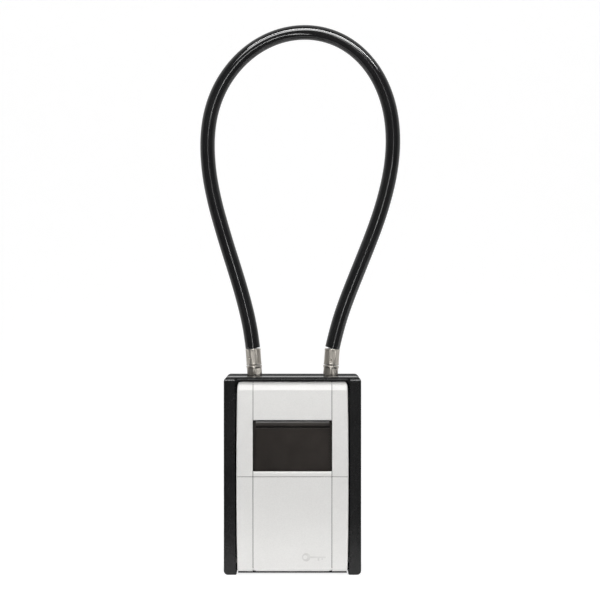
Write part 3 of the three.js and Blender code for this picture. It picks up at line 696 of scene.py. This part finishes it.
def build_bumper():
    o = rounded_shell(41, -59, 59, 2.6, 2.9, -48.6, -14.3, 0.85)
    side = []
    for i in range(13):
        a = math.pi / 2 * i / 12
        side.append((-48.62 + 0.5 * (1 - math.sin(a)), -59.02 + 0.6 * (1 - math.cos(a))))
    for i in range(17):
        a = math.pi / 2 * i / 16
        side.append((-48.62 + 3.0 * (1 - math.cos(a)), 59.02 - 2.9 * (1 - math.sin(a))))
    side += [(-10, 59.02), (-10, -59.02)]
    boolean(o, prism_x(side, -60, 60), "INTERSECT")
    boolean(o, prism_y(round_rect(-34.5, 34.5, 50, 58.55, 0.5, 1.3), -60, -47.2))
    bead = prism_y(round_rect(-34.05, 34.05, 50, 57.95, 0.5, 2.2), -48.3, -46.0)
    bevel(bead, 0.4, 4, 50)
    boolean(o, bead, "UNION")
    boolean(o, [
        prism_y(round_rect(-38.7, 38.7, -56.3, 56.5, 1.6, 2.3), -46.8, -10),
        prism_y(cover_ring(0.9, -57.3, 0.4), -54, -45.8),
        block(-33.2, 33.2, -60, -31.5, -70, -53),
        prism_z(circle(5.3, 64, (23.1, -24)), 50, 64),
        prism_z(circle(5.3, 64, (-23.1, -24)), 50, 64)])
    for s in (-1, 1):
        # rounded inner toe of each rail
        x0, c, r = 33.2, -57.9, 1.1
        toe = [(s * (x0 - 0.9), c), (s * x0, c)]
        toe += [(s * (x0 + r * (1 - math.cos(t * math.pi / 16))), c - r * math.sin(t * math.pi / 16)) for t in range(1, 9)]
        toe += [(s * (x0 + r), -60), (s * (x0 - 0.9), -60)]
        boolean(o, prism_y(toe if s > 0 else toe[::-1], -54, -10))
    # shadow line where the glossy front meets the textured rear part
    shell = prism_y(round_rect(-42, 42, -60, 60, 2), -33.3, -32.8)
    boolean(shell, prism_y(round_rect(-40.55, 40.55, -60, 58.55, 2.5, 2.5), -34, -32))
    boolean(o, shell)
    clean(o, 0.3)
    bevel(o, 0.3, 3, 42)
    return finish_piece(o, "bumper_frame", "housing", "bumper_black", BUMPER, ["surround_frame"], sharp=40)


build_bumper()


def build_housing():
    o = rounded_shell(40.9, -58.95, 58.95, 2.4, 2.4, -14, 0, 0.4, back_edge=1.2)
    sleeve = prism_y(round_rect(-38.4, 38.4, -56, 56.2, 1.6, 2.2), -46.5, -13)
    boolean(o, sleeve, "UNION")
    boolean(o, [
        prism_y(round_rect(-35.4, 35.4, -53.5, 53.5, 1.4), -52, -3),
        block(-35.4, 35.4, -60, -44.9, 40, 60),
        block(-35.4, 35.4, -60, -31.5, -60, -40),
        rings("c", [[(x, HY + a, HZ + b) for a, b in circle(1.8, 40)] for x in (-45, 45)]),
        prism_z(circle(5.3, 64, (23.1, -24)), 50, 60), prism_z(circle(5.3, 64, (-23.1, -24)), 50, 60),
        prism_z(circle(1.8, 32, (7.3, -24)), 50, 55.5), prism_z(circle(1.8, 32, (-7.3, -24)), 50, 55.5),
        prism_y(circle(1.5, 32, (0, 4.6)), -6, -0.8),
        prism_y(round_rect(-34, 34, -52, 52, 3.0), -0.45, 1)])
    clean(o, 0.3)
    bevel(o, 0.35, 2, 50)
    return finish_piece(o, "rear_housing_body", "housing", "cast_black", CAST, ["rear_housing"], sharp=40)


HY, HZ = -42.0, -51.0
build_housing()

# =====================================================================
# shutter with its finger ridge
# =====================================================================
def build_shutter():
    plate = prism_y(round_rect(-26, 26, 1.6, 34.5, 0.9), -47.3, -46.6)
    panel = [(-47.2, 2.4), (-47.62, 2.4), (-47.8, 2.48), (-47.88, 2.66), (-47.9, 3.0), (-47.9, 28.4), (-47.85, 28.48), (-47.2, 28.5)]
    raised = prism_x(panel, -21.9, 21.9)
    bevel(raised, 0.25, 3, 60)
    ridge = prism_x([(-47.2, 29.75), (-47.2, 32.58), (-48.25, 32.58), (-48.40, 32.52), (-48.46, 32.42), (-48.66, 31.92), (-48.73, 31.72),
                     (-48.81, 31.2), (-48.94, 30.4), (-48.96, 30.15), (-48.88, 30.0), (-48.6, 29.85), (-48.1, 29.8)], -21.9, 21.9)
    boolean(plate, [raised, ridge], "UNION")
    clean(plate, 0.4)
    bevel(plate, 0.10, 2, 50)
    finish_piece(plate, "shutter_plate", "shutter_slide", "shutter_grey", SHUTTER, ["shutter"], sharp=45)
    # painted shade: the recessed side margins and the plate face above the ridge are coloured near-black for the shade
    # that falls there
    paint_faces(plate, SHUTTER_RECESS_SHADE, lambda c, n: c.y > -47.34 and (abs(c.x) > 21.95 or c.z > 32.4))
    return plate


build_shutter()

# =====================================================================
# cable loop
# =====================================================================
LOOP = [
    [-24.25, 75.50], [-25.52, 84.94], [-27.36, 94.53], [-29.69, 104.02], [-32.32, 113.42],
    [-35.16, 122.77], [-38.10, 132.08], [-41.00, 141.41], [-43.75, 150.78], [-46.39, 160.19],
    [-48.62, 169.70], [-50.43, 179.29], [-51.55, 188.99], [-52.00, 198.75], [-51.56, 208.50],
    [-50.05, 218.14], [-47.29, 227.50], [-43.23, 236.37], [-37.91, 244.54], [-31.48, 251.87],
    [-24.00, 258.12], [-15.58, 263.04], [-6.46, 266.47], [3.13, 268.16], [12.88, 268.06],
    [22.40, 266.02], [31.33, 262.14], [39.30, 256.54], [46.09, 249.56], [51.64, 241.54],
    [55.84, 232.74], [58.83, 223.46], [60.57, 213.86], [61.26, 204.12], [60.99, 194.36],
    [59.86, 184.66], [58.02, 175.07], [55.60, 165.61], [52.75, 156.27], [49.50, 147.06],
    [45.98, 137.95], [42.36, 128.88], [38.71, 119.81], [35.08, 110.75], [31.64, 101.61],
    [28.55, 92.34], [26.00, 82.92], [24.25, 75.55],
]
CX, CY = 23.1, -24.0


def catmull(points, per):
    """centripetal Catmull-Rom through 2-D points"""
    p = [Vector(q) for q in points]
    p = [p[0] * 2 - p[1]] + p + [p[-1] * 2 - p[-2]]
    out = []
    for i in range(1, len(p) - 2):
        t = [0.0]
        for k in range(3):
            t.append(t[-1] + max(1e-6, (p[i + k] - p[i + k - 1]).length ** 0.5))
        for s in range(per):
            u = t[1] + (t[2] - t[1]) * s / per
            a1 = p[i - 1] * ((t[1] - u) / (t[1] - t[0])) + p[i] * ((u - t[0]) / (t[1] - t[0]))
            a2 = p[i] * ((t[2] - u) / (t[2] - t[1])) + p[i + 1] * ((u - t[1]) / (t[2] - t[1]))
            a3 = p[i + 1] * ((t[3] - u) / (t[3] - t[2])) + p[i + 2] * ((u - t[2]) / (t[3] - t[2]))
            b1 = a1 * ((t[2] - u) / (t[2] - t[0])) + a2 * ((u - t[0]) / (t[2] - t[0]))
            b2 = a2 * ((t[3] - u) / (t[3] - t[1])) + a3 * ((u - t[1]) / (t[3] - t[1]))
            out.append(b1 * ((t[2] - u) / (t[2] - t[1])) + b2 * ((u - t[1]) / (t[2] - t[1])))
    out.append(p[-2])
    return out


def resample(pts, step):
    total, out, d = 0.0, [pts[0].copy()], 0.0
    length = sum((pts[i + 1] - pts[i]).length for i in range(len(pts) - 1))
    n = max(2, round(length / step))
    step = length / n
    want = step
    for i in range(len(pts) - 1):
        seg = (pts[i + 1] - pts[i]).length
        while total + seg >= want - 1e-9 and len(out) < n:
            out.append(pts[i].lerp(pts[i + 1], (want - total) / seg))
            want += step
        total += seg
    out.append(pts[-1].copy())
    return out


def smooth_path(points, step=1.6, passes=8):
    pts = resample(catmull(points, 12), step)
    for _ in range(passes):
        q = [p.copy() for p in pts]
        for i in range(3, len(pts) - 3):
            q[i] = pts[i] * 0.5 + (pts[i - 1] + pts[i + 1]) * 0.25
        pts = q
    return pts


PATH = smooth_path(LOOP)


def frame_at(pts, i):
    a, b = pts[max(0, i - 1)], pts[min(len(pts) - 1, i + 1)]
    t = (b - a).normalized()
    return Vector((t.x, 0, t.y)), Vector((-t.y, 0, t.x))


def tube_loop(pts, i, radius, n, shift=0.0):
    t, u = frame_at(pts, i)
    c = Vector((pts[i].x, CY, pts[i].y)) + t * shift
    w = Vector((0, 1, 0))
    return [tuple(c + u * (radius * math.cos(2 * math.pi * k / n)) + w * (radius * math.sin(2 * math.pi * k / n))) for k in range(n)]


def build_sheath():
    n, last = 56, len(PATH) - 1
    ro, ri = 4.5, 3.35
    loops = [tube_loop(PATH, i, ri, n) for i in range(last, -1, -1)]
    loops += [tube_loop(PATH, 0, ri + 0.15, n), tube_loop(PATH, 0, ro - 0.3, n, 0.0), tube_loop(PATH, 0, ro - 0.08, n, 0.12), tube_loop(PATH, 0, ro, n, 0.35)]
    loops += [tube_loop(PATH, i, ro, n) for i in range(1, last)]
    loops += [tube_loop(PATH, last, ro, n, -0.35), tube_loop(PATH, last, ro - 0.08, n, -0.12), tube_loop(PATH, last, ro - 0.3, n), tube_loop(PATH, last, ri + 0.15, n)]
    verts = [v for loop in loops for v in loop]
    m = len(loops)
    faces = []
    for i in range(m):
        for j in range(n):
            a, b = i * n + j, i * n + (j + 1) % n
            c, d = ((i + 1) % m) * n + (j + 1) % n, ((i + 1) % m) * n + j
            faces.append((a, b, c, d))
    o = temp("sheath", verts, faces)
    # coordinates laid along the cable, for the extrusion lines in the skin
    lay = o.data.attributes.new("lay", "FLOAT_VECTOR", "POINT")
    grid = [Vector((p.x, CY, p.y)) for p in PATH]
    run = [0.0]
    for a, b in zip(grid, grid[1:]):
        run.append(run[-1] + (b - a).length)
    near = 0
    for v in o.data.vertices:
        best = min(range(len(grid)), key=lambda q: (v.co - grid[q]).length_squared)
        t, u = frame_at(PATH, best)
        d = v.co - grid[best]
        a, b = d.dot(u), d.y
        r = max(1e-6, math.hypot(a, b))
        lay.data[v.index].vector = (a / r, b / r, run[best] * 0.004)
    return finish_piece(o, "cable_sheath_tube", "cable", "sheath_black", SHEATH, ["cable_sheath"], sharp=50, weighted=False)


CABLE_LIT = [build_sheath()]


def leaned(s):
    """maps a point about the socket axis onto the fitting's leaning axis"""
    c, d = math.cos(math.radians(4)), math.sin(math.radians(4))

    def place(a, b, h):
        u = h - 59.3
        return (s * CX + a * c + s * u * d, CY + b, 59.3 + u * c - s * a * d)
    return place


def crimped(t, r, h):
    """soft flats left by the crimping jaws on the middle of the sleeve"""
    if r < 4.3:
        return r
    k = min(1.0, max(0.0, (h - 66.0) / 0.9)) * min(1.0, max(0.0, (74.6 - h) / 0.9))
    a = (t + math.pi / 8) % (math.pi / 4) - math.pi / 8
    flat = 4.50 / math.cos(a)
    return r + (min(r, flat) - r) * k


def build_sleeve(side, s):
    R = 4.65
    prof = [(0.02, 67.0), (3.25, 67.0), (3.3, 67.1), (3.3, 74.9), (3.45, 75.12), (3.9, 75.2), (4.35, 75.15), (4.55, 75.0), (R, 74.75)]
    prof += [(R, 74.5 - 0.35 * i) for i in range(25)]
    prof += [(R, 65.75), (R - 0.05, 65.55), (R - 0.2, 65.38), (4.2, 65.3), (0.02, 65.3)]
    n = 96
    place = leaned(s)
    loops = []
    for r, h in prof:
        loop = []
        for i in range(n):
            t = 2 * math.pi * i / n
            rr = crimped(t, r, h)
            loop.append(place(rr * math.cos(t), rr * math.sin(t), h))
        loops.append(loop)
    o = rings("sleeve", loops)
    # punch mark on the right sleeve, a small dent on the left one
    me = bpy.data.meshes.new("d")
    bm = bmesh.new()
    bmesh.ops.create_uvsphere(bm, u_segments=28, v_segments=16, radius=0.8)
    bm.to_mesh(me)
    bm.free()
    dim = bpy.data.objects.new("d", me)
    scene.collection.objects.link(dim)
    a0, zc = (-0.5, 68.2) if s > 0 else (-2.5, 69.7)
    c = place(a0, -math.sqrt(4.5 ** 2 - a0 ** 2) - 0.3, zc)
    me.transform(Matrix.Translation(Vector(c)))
    boolean(o, dim)
    clean(o, 0.05)
    return finish_piece(o, f"crimp_sleeve_{side}_turned", "cable", "ferrule_steel", FERRULE, [f"crimp_sleeve_{side}"], sharp=22, weighted=False)


def build_fitting(side, s):
    place = leaned(s)

    def wob(t, r, h):
        # spanner flats that run out in an arch below the rim
        if h < 59.6 or r < 4.4:
            return r
        a = (t + math.pi / 2) % (math.pi / 3) - math.pi / 6
        run = min(1.0, max(0.0, (h - 63.0) / 1.3))
        flat = (4.42 + 0.42 * run * run) / math.cos(a)
        return min(r, flat)
    prof = [(0.02, 59.36), (4.2, 59.36), (4.5, 59.42), (4.72, 59.6), (4.8, 59.85)]
    prof += [(4.8, 60.0 + 0.2 * i) for i in range(23)]
    prof += [(4.8, 64.62), (4.74, 64.84), (4.58, 65.0), (0.02, 65.0)]
    o = lathe(prof, 120, place, wob)
    if s < 0:
        p = [(3.1, 38.5), (3.35, 38.6), (3.5, 38.85), (3.5, 39.4), (2.6, 39.4), (2.6, 41.0), (3.5, 41.0), (3.5, 60.3)]
    else:
        p = [(2.4, 50.0), (2.75, 50.1), (3.0, 50.35), (3.5, 50.9), (3.5, 51.1), (2.2, 51.1), (2.2, 53.1), (3.5, 53.1), (3.5, 60.3)]
    shank = lathe([(0.02, p[0][1])] + p + [(0.02, 60.3)], 80, about_z(s * CX, CY))
    boolean(o, shank, "UNION")
    clean(o, 0.05)
    return finish_piece(o, f"end_fitting_{side}_turned", "cable", "ferrule_steel", FERRULE, [f"end_fitting_{side}"], sharp=24, weighted=False)


def build_bush(side, s):
    prof = [(3.8, 58.4), (3.9, 58.75), (4.15, 58.9), (4.7, 58.9), (4.92, 58.8), (5.0, 58.55), (5.0, 54.1), (4.9, 53.85), (4.7, 53.8), (3.95, 53.8), (3.8, 53.95)]
    n = 72
    verts, faces = [], []
    for r, h in prof:
        verts += [(s * CX + r * math.cos(2 * math.pi * i / n), CY + r * math.sin(2 * math.pi * i / n), h) for i in range(n)]
    m = len(prof)
    for i in range(m):
        for j in range(n):
            faces.append((i * n + j, i * n + (j + 1) % n, ((i + 1) % m) * n + (j + 1) % n, ((i + 1) % m) * n + j))
    o = temp("bush", verts, faces)
    return finish_piece(o, f"entry_bush_{side}_ring", "housing", "rubber_black", RUBBER, [f"entry_bush_{side}"], sharp=40)


METAL_LIT = []
for side, s in (("left", -1), ("right", 1)):
    METAL_LIT += [build_sleeve(side, s), build_fitting(side, s)]
    build_bush(side, s)


def build_core():
    """six strands laid round a centre, swept along the loop and into both sleeves"""
    first, last = PATH[0], PATH[-1]
    a = (PATH[0] - PATH[2]).normalized()
    b = (PATH[-1] - PATH[-3]).normalized()
    pts = [first + a * d for d in (7.4, 5.0, 2.5)] + PATH + [last + b * d for d in (2.5, 5.0, 7.4)]
    n = 36
    loops = []
    dist = 0.0
    for i in range(len(pts)):
        if i:
            dist += (pts[i] - pts[i - 1]).length
        t, u = frame_at(pts, i)
        c = Vector((pts[i].x, CY, pts[i].y))
        w = Vector((0, 1, 0))
        twist = dist / 26.0 * 2 * math.pi
        loop = []
        for k in range(n):
            th = 2 * math.pi * k / n
            r = 2.33 + 0.27 * abs(math.cos(3 * (th - twist)))
            loop.append(tuple(c + u * (r * math.cos(th)) + w * (r * math.sin(th))))
        loops.append(loop)
    o = rings("core", loops)
    return finish_piece(o, "cable_core_rope", "cable", "rope_steel", STEEL, ["cable_core"], sharp=60, weighted=False)


build_core()

# =====================================================================
# dials with raised printed digits
# =====================================================================
DX = [-18.4, -10.0, -1.6, 6.8]
DY, DZ, DR = -35.2, 21.0, 11.0


def digit_mesh(ch, size):
    cu = bpy.data.curves.new("digit", "FONT")
    cu.body = ch
    cu.size = size
    cu.align_x = "CENTER"
    cu.align_y = "CENTER"
    cu.extrude = 0.05
    cu.resolution_u = 6
    o = bpy.data.objects.new("digit", cu)
    scene.collection.objects.link(o)
    bpy.context.view_layer.update()
    me = bpy.data.meshes.new_from_object(o.evaluated_get(bpy.context.evaluated_depsgraph_get()))
    bpy.data.objects.remove(o)
    bpy.data.curves.remove(cu)
    return me


DIGITS = [digit_mesh(str(k), 5.0) for k in range(10)]


def build_dial(i):
    x = DX[i]
    w = 3.1
    prof = [(6.05, -w), (10.3, -w), (10.55, -w + 0.04), (10.8, -w + 0.16), (10.95, -w + 0.36), (11.0, -w + 0.62)]
    prof = prof + [(r, -h) for r, h in reversed(prof)]

    def wob(t, r, h):
        if r < 10.2:
            return r
        # shallow thumb flute half way between two digit lands
        d = ((t - math.pi) / (math.pi / 5) + 0.5) % 1.0 - 0.5
        e = abs(abs(d) - 0.5)
        if e < 0.16:
            return r - 0.62 * math.cos(e / 0.16 * math.pi / 2) ** 0.8
        return r
    n = 240
    verts, faces = [], []
    m = len(prof)
    for r, h in prof:
        for k in range(n):
            t = 2 * math.pi * k / n
            rr = wob(t, r, h)
            verts.append((x + h, DY + rr * math.cos(t), DZ + rr * math.sin(t)))
    for a in range(m):
        for b in range(n):
            faces.append((a * n + b, a * n + (b + 1) % n, ((a + 1) % m) * n + (b + 1) % n, ((a + 1) % m) * n + b))
    o = temp("ring", verts, faces)
    finish_piece(o, f"dial_ring_{i + 1}_moulded", f"dial_{i + 1}", "dial_black", DIAL, [f"dial_ring_{i + 1}"], sharp=40, weighted=False)

    verts, faces = [], []
    for k in range(10):
        me = DIGITS[k]
        phi0 = 2 * math.pi * k / 10
        base = len(verts)
        xs = [v.co.x for v in me.vertices]
        cx = (min(xs) + max(xs)) / 2
        ys = [v.co.y for v in me.vertices]
        cy = (min(ys) + max(ys)) / 2
        for v in me.vertices:
            phi = phi0 + (v.co.y - cy) / DR
            r = DR + 0.01 + v.co.z
            verts.append((x + v.co.x - cx, DY - r * math.cos(phi), DZ + r * math.sin(phi)))
        faces += [tuple(base + q for q in p.vertices) for p in me.polygons]
    o = temp("digits", verts, faces)
    finish_piece(o, f"dial_digits_{i + 1}", f"dial_{i + 1}", "dial_black", INK, sharp=30, weighted=False)


for i in range(4):
    build_dial(i)

# =====================================================================
# coil spring under the release slide
# =====================================================================
def build_spring():
    cx, cy, z0, z1, R, r, turns = 17.7, -38.6, 8.2, 19.5, 1.75, 0.36, 5.5
    n, steps = 14, 260
    loops = []
    for i in range(steps + 1):
        t = i / steps
        a = t * turns * 2 * math.pi
        c = Vector((cx + R * math.cos(a), cy + R * math.sin(a), z0 + (z1 - z0) * t))
        tan = Vector((-R * math.sin(a) * turns * 2 * math.pi, R * math.cos(a) * turns * 2 * math.pi, z1 - z0)).normalized()
        u = Vector((math.cos(a), math.sin(a), 0))
        w = tan.cross(u).normalized()
        loops.append([tuple(c + u * (r * math.cos(2 * math.pi * k / n)) + w * (r * math.sin(2 * math.pi * k / n))) for k in range(n)])
    o = rings("spring", loops)
    finish_piece(o, "latch_spring_coil", "door", "spring_steel", SPRING, ["latch_spring"], sharp=50, weighted=False)
    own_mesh(o)


build_spring()

# =====================================================================
# round parts rebuilt fine, the rest finished from their CAD solids
# =====================================================================
o = rod(1.5, -38, 38, about_x(HY, HZ), 48, 0.25)
finish_piece(o, "hinge_pin_turned", "housing", "steel", STEEL, ["hinge_pin"], weighted=False)
o = rod(2.0, -23.8, 13.5, about_x(DY, DZ), 56, 0.3)
finish_piece(o, "dial_spindle_turned", "door", "steel", STEEL, ["dial_spindle"], weighted=False)

LOOK = {
    "socket_block": (ZINC, 0.3), "block_screw_left": (STEEL, 0.2), "block_screw_right": (STEEL, 0.2),
    "key_hook": (STEEL, 0.25), "key_hook_screw": (STEEL, 0.18), "key_pad": (RUBBER, 0.4),
    "door_tray": (TRAY, 0.3), "dial_bezel": (TRAY, 0.2), "lock_frame": (STEEL, 0.15),
    "dial_detent_spring": (SPRING, 0.08), "lock_cover": (TRAY, 0.4), "release_button": (TRAY, 0.25),
    "latch_bolt": (STEEL, 0.18), "locking_bar": (STEEL, 0.15), "code_change_lever": (BRASS, 0.2),
    "retaining_clip": (SPRING, 0.12), "cable_release_slider": (STEEL, 0.25),
}
for i in range(1, 5):
    LOOK[f"door_screw_{i}"] = (STEEL, 0.18)
    LOOK[f"cam_sleeve_{i}"] = (ZINC, 0.15)
for node, (mat, width) in LOOK.items():
    refine(node, mat, width)

# =====================================================================
# stage: white sweep, soft light, camera
# =====================================================================
FLOOR = -0.0590


NEAR = -0.165


def sweep_material(glow_strength=0.18):
    """pale matt floor; straight to the camera it is lifted almost to white, keeping a trace of the shadow"""
    m = bpy.data.materials.new("stage_white")
    m.use_nodes = True
    t = m.node_tree
    t.nodes.clear()
    out = t.nodes.new("ShaderNodeOutputMaterial")
    lp = t.nodes.new("ShaderNodeLightPath")
    mix = t.nodes.new("ShaderNodeMixShader")
    add = t.nodes.new("ShaderNodeAddShader")
    a = t.nodes.new("ShaderNodeBsdfDiffuse")
    a.inputs[0].default_value = (0.86, 0.86, 0.86, 1)
    b = t.nodes.new("ShaderNodeBsdfDiffuse")
    b.inputs[0].default_value = (0.35, 0.35, 0.35, 1)
    e = t.nodes.new("ShaderNodeEmission")
    e.inputs[1].default_value = 0.82
    t.links.new(b.outputs[0], add.inputs[0])
    t.links.new(e.outputs[0], add.inputs[1])
    glow = t.nodes.new("ShaderNodeEmission")
    glow.inputs[1].default_value = glow_strength
    lit = t.nodes.new("ShaderNodeAddShader")
    t.links.new(a.outputs[0], lit.inputs[0])
    t.links.new(glow.outputs[0], lit.inputs[1])
    t.links.new(lp.outputs["Is Camera Ray"], mix.inputs[0])
    t.links.new(lit.outputs[0], mix.inputs[1])
    t.links.new(add.outputs[0], mix.inputs[2])
    # looked at from underneath, the floor does not hide the object
    geo = t.nodes.new("ShaderNodeNewGeometry")
    both = t.nodes.new("ShaderNodeMath")
    both.operation = "MULTIPLY"
    clear = t.nodes.new("ShaderNodeBsdfTransparent")
    top = t.nodes.new("ShaderNodeMixShader")
    t.links.new(geo.outputs["Backfacing"], both.inputs[0])
    t.links.new(lp.outputs["Is Camera Ray"], both.inputs[1])
    t.links.new(both.outputs[0], top.inputs[0])
    t.links.new(mix.outputs[0], top.inputs[1])
    t.links.new(clear.outputs[0], top.inputs[2])
    t.links.new(top.outputs[0], out.inputs[0])
    return m


def sweep_stage():
    """floor that curves up into a backdrop"""
    prof = [(NEAR, FLOOR - 0.0002), (1.2, FLOOR - 0.0002)]
    for i in range(1, 13):
        a = math.pi / 2 * i / 12
        prof.append((1.2 + 1.0 * math.sin(a), FLOOR - 0.0002 + 1.0 * (1 - math.cos(a))))
    prof.append((2.2, 6.0))
    verts, faces = [], []
    for y, z in prof:
        verts += [(-6, y, z), (6, y, z)]
    for i in range(len(prof) - 1):
        faces.append((2 * i, 2 * i + 1, 2 * i + 3, 2 * i + 2))
    me = bpy.data.meshes.new("stage_sweep")
    me.from_pydata(verts, [], faces)
    for p in me.polygons:
        p.use_smooth = True
    me.materials.append(sweep_material())
    o = bpy.data.objects.new("stage_sweep", me)
    scene.collection.objects.link(o)
    o.visible_glossy = False
    # the same floor carried on towards the camera, seen but not mirrored
    me = bpy.data.meshes.new("stage_apron")
    me.from_pydata([(-6, -3.0, FLOOR - 0.0002), (6, -3.0, FLOOR - 0.0002), (6, NEAR, FLOOR - 0.0002), (-6, NEAR, FLOOR - 0.0002)], [], [(0, 1, 2, 3)])
    me.materials.append(sweep_material())
    o = bpy.data.objects.new("stage_apron", me)
    scene.collection.objects.link(o)
    o.visible_glossy = False
    o.visible_shadow = False
    # and the piece of floor the box does mirror
    me = bpy.data.meshes.new("stage_table")
    me.from_pydata([(-0.6, NEAR, FLOOR - 0.0004), (0.6, NEAR, FLOOR - 0.0004), (0.6, 0.25, FLOOR - 0.0004), (-0.6, 0.25, FLOOR - 0.0004)], [], [(0, 1, 2, 3)])
    me.materials.append(sweep_material(0.30))
    o = bpy.data.objects.new("stage_table", me)
    scene.collection.objects.link(o)
    o.visible_camera = False


sweep_stage()


def area(name, loc, target, size, power, size_y=None, color=(1, 1, 1)):
    d = bpy.data.lights.new(name, "AREA")
    d.shape = "RECTANGLE"
    d.size = size
    d.size_y = size_y or size
    d.energy = power
    d.color = color
    o = bpy.data.objects.new(name, d)
    o.location = loc
    v = Vector(target) - Vector(loc)
    o.rotation_euler = v.to_track_quat("-Z", "Y").to_euler()
    scene.collection.objects.link(o)
    return o


def only(o, objects, state="INCLUDE"):
    """let a light fall on these objects only, or on all but these"""
    c = bpy.data.collections.new(o.name + "_receivers")
    for r in objects:
        c.objects.link(r)
    o.light_linking.receiver_collection = c
    for k in c.collection_objects:
        k.light_linking.link_state = state
    return o


def strip(name, a, b, width, power, target, receivers=None):
    """long thin soft box between two points, turned to the target"""
    a, b = Vector(a), Vector(b)
    d = bpy.data.lights.new(name, "AREA")
    d.shape = "RECTANGLE"
    d.size = (b - a).length
    d.size_y = width
    d.energy = power
    o = bpy.data.objects.new(name, d)
    mid = (a + b) / 2
    z = (mid - Vector(target)).normalized()
    x = (b - a).normalized()
    y = z.cross(x).normalized()
    x = y.cross(z).normalized()
    o.matrix_world = Matrix(((x.x, y.x, z.x, mid.x), (x.y, y.y, z.y, mid.y), (x.z, y.z, z.z, mid.z), (0, 0, 0, 1)))
    scene.collection.objects.link(o)
    if receivers:
        only(o, receivers)
    return o


only(area("key", (0.0, -1.30, 1.10), (0.0, -0.03, 0.03), 1.25, 25, 0.42), COVER_LIT, "EXCLUDE")
soft = only(area("cover_soft", (0.0, -1.50, 0.62), (0.0, -0.03, 0.0), 1.4, 19.6, 0.7), COVER_LIT)
soft.visible_glossy = False
low = only(area("cover_low", (0.0, -0.17, -0.052), (0.0, 0.0, -0.03), 0.22, 0.026, 0.02), COVER_LIT)
low.visible_glossy = False
low.visible_camera = False
only(area("cover_band", (0.0, -1.50, 0.52), (0.0, -0.03, 0.03), 1.4, 4.0, 0.30), COVER_LIT)
strip("ferrule_band_left", (-0.22, -1.0, 0.00), (-0.22, -1.0, 0.34), 0.16, 1.05, (0, -0.02, 0.07), METAL_LIT)
strip("ferrule_band_right", (0.95, -0.62, -0.02), (0.95, -0.62, 0.32), 0.16, 1.2, (0, -0.02, 0.07), METAL_LIT)
strip("cable_line_upper", (-0.75, -0.85, 1.25), (1.15, -0.85, 1.25), 0.10, 34, (0, -0.02, 0.2), CABLE_LIT)
strip("cable_line_lower", (0.20, -1.15, 0.22), (-0.02, -0.76, -0.36), 0.035, 1.9, (0, -0.02, 0.2), CABLE_LIT)
strip("cable_line_side", (0.14, -1.2, 0.20), (0.10, -1.2, 0.62), 0.03, 0.35, (0, -0.02, 0.2), CABLE_LIT)


def studio_world():
    """white for the camera; for reflections a bright room with a dark patch around the camera"""
    w = bpy.data.worlds.new("studio")
    scene.world = w
    w.use_nodes = True
    t = w.node_tree
    t.nodes.clear()
    out = t.nodes.new("ShaderNodeOutputWorld")
    mix = t.nodes.new("ShaderNodeMixShader")
    lp = t.nodes.new("ShaderNodeLightPath")
    cam_bg = t.nodes.new("ShaderNodeBackground")
    cam_bg.inputs[0].default_value = (1, 1, 1, 1)
    cam_bg.inputs[1].default_value = 1.0
    room = t.nodes.new("ShaderNodeBackground")
    tc = t.nodes.new("ShaderNodeTexCoord")
    dot = t.nodes.new("ShaderNodeVectorMath")
    dot.operation = "DOT_PRODUCT"
    dot.inputs[1].default_value = (0, -1, 0)
    ramp = t.nodes.new("ShaderNodeValToRGB")
    e = ramp.color_ramp.elements
    e[0].position, e[0].color = 0.0, (0.85, 0.85, 0.85, 1)
    e[1].position, e[1].color = 1.0, (0.19, 0.19, 0.19, 1)
    for pos, v in ((0.06, 0.55), (0.30, 0.20), (0.60, 0.14), (0.90, 0.16)):
        k = ramp.color_ramp.elements.new(pos)
        k.color = (v, v, v, 1)
    t.links.new(tc.outputs["Generated"], dot.inputs[0])
    t.links.new(dot.outputs["Value"], ramp.inputs[0])
    t.links.new(ramp.outputs[0], room.inputs[0])
    room.inputs[1].default_value = 1.0
    t.links.new(lp.outputs["Is Camera Ray"], mix.inputs[0])
    t.links.new(room.outputs[0], mix.inputs[1])
    t.links.new(cam_bg.outputs[0], mix.inputs[2])
    t.links.new(mix.outputs[0], out.inputs[0])


studio_world()

scene.view_settings.view_transform = "Standard"
scene.view_settings.look = "None"

cam = bpy.data.cameras.new("camera")
cam.sensor_width = 36.0
cam.lens = 36.0 * 1.0 / 0.357
cam.clip_start = 0.05
cam.clip_end = 30
co = bpy.data.objects.new("camera", cam)
co.location = (0.00450, -1.050, 0.1049)
co.rotation_euler = (math.pi / 2, 0, 0)
scene.collection.objects.link(co)
scene.camera = co

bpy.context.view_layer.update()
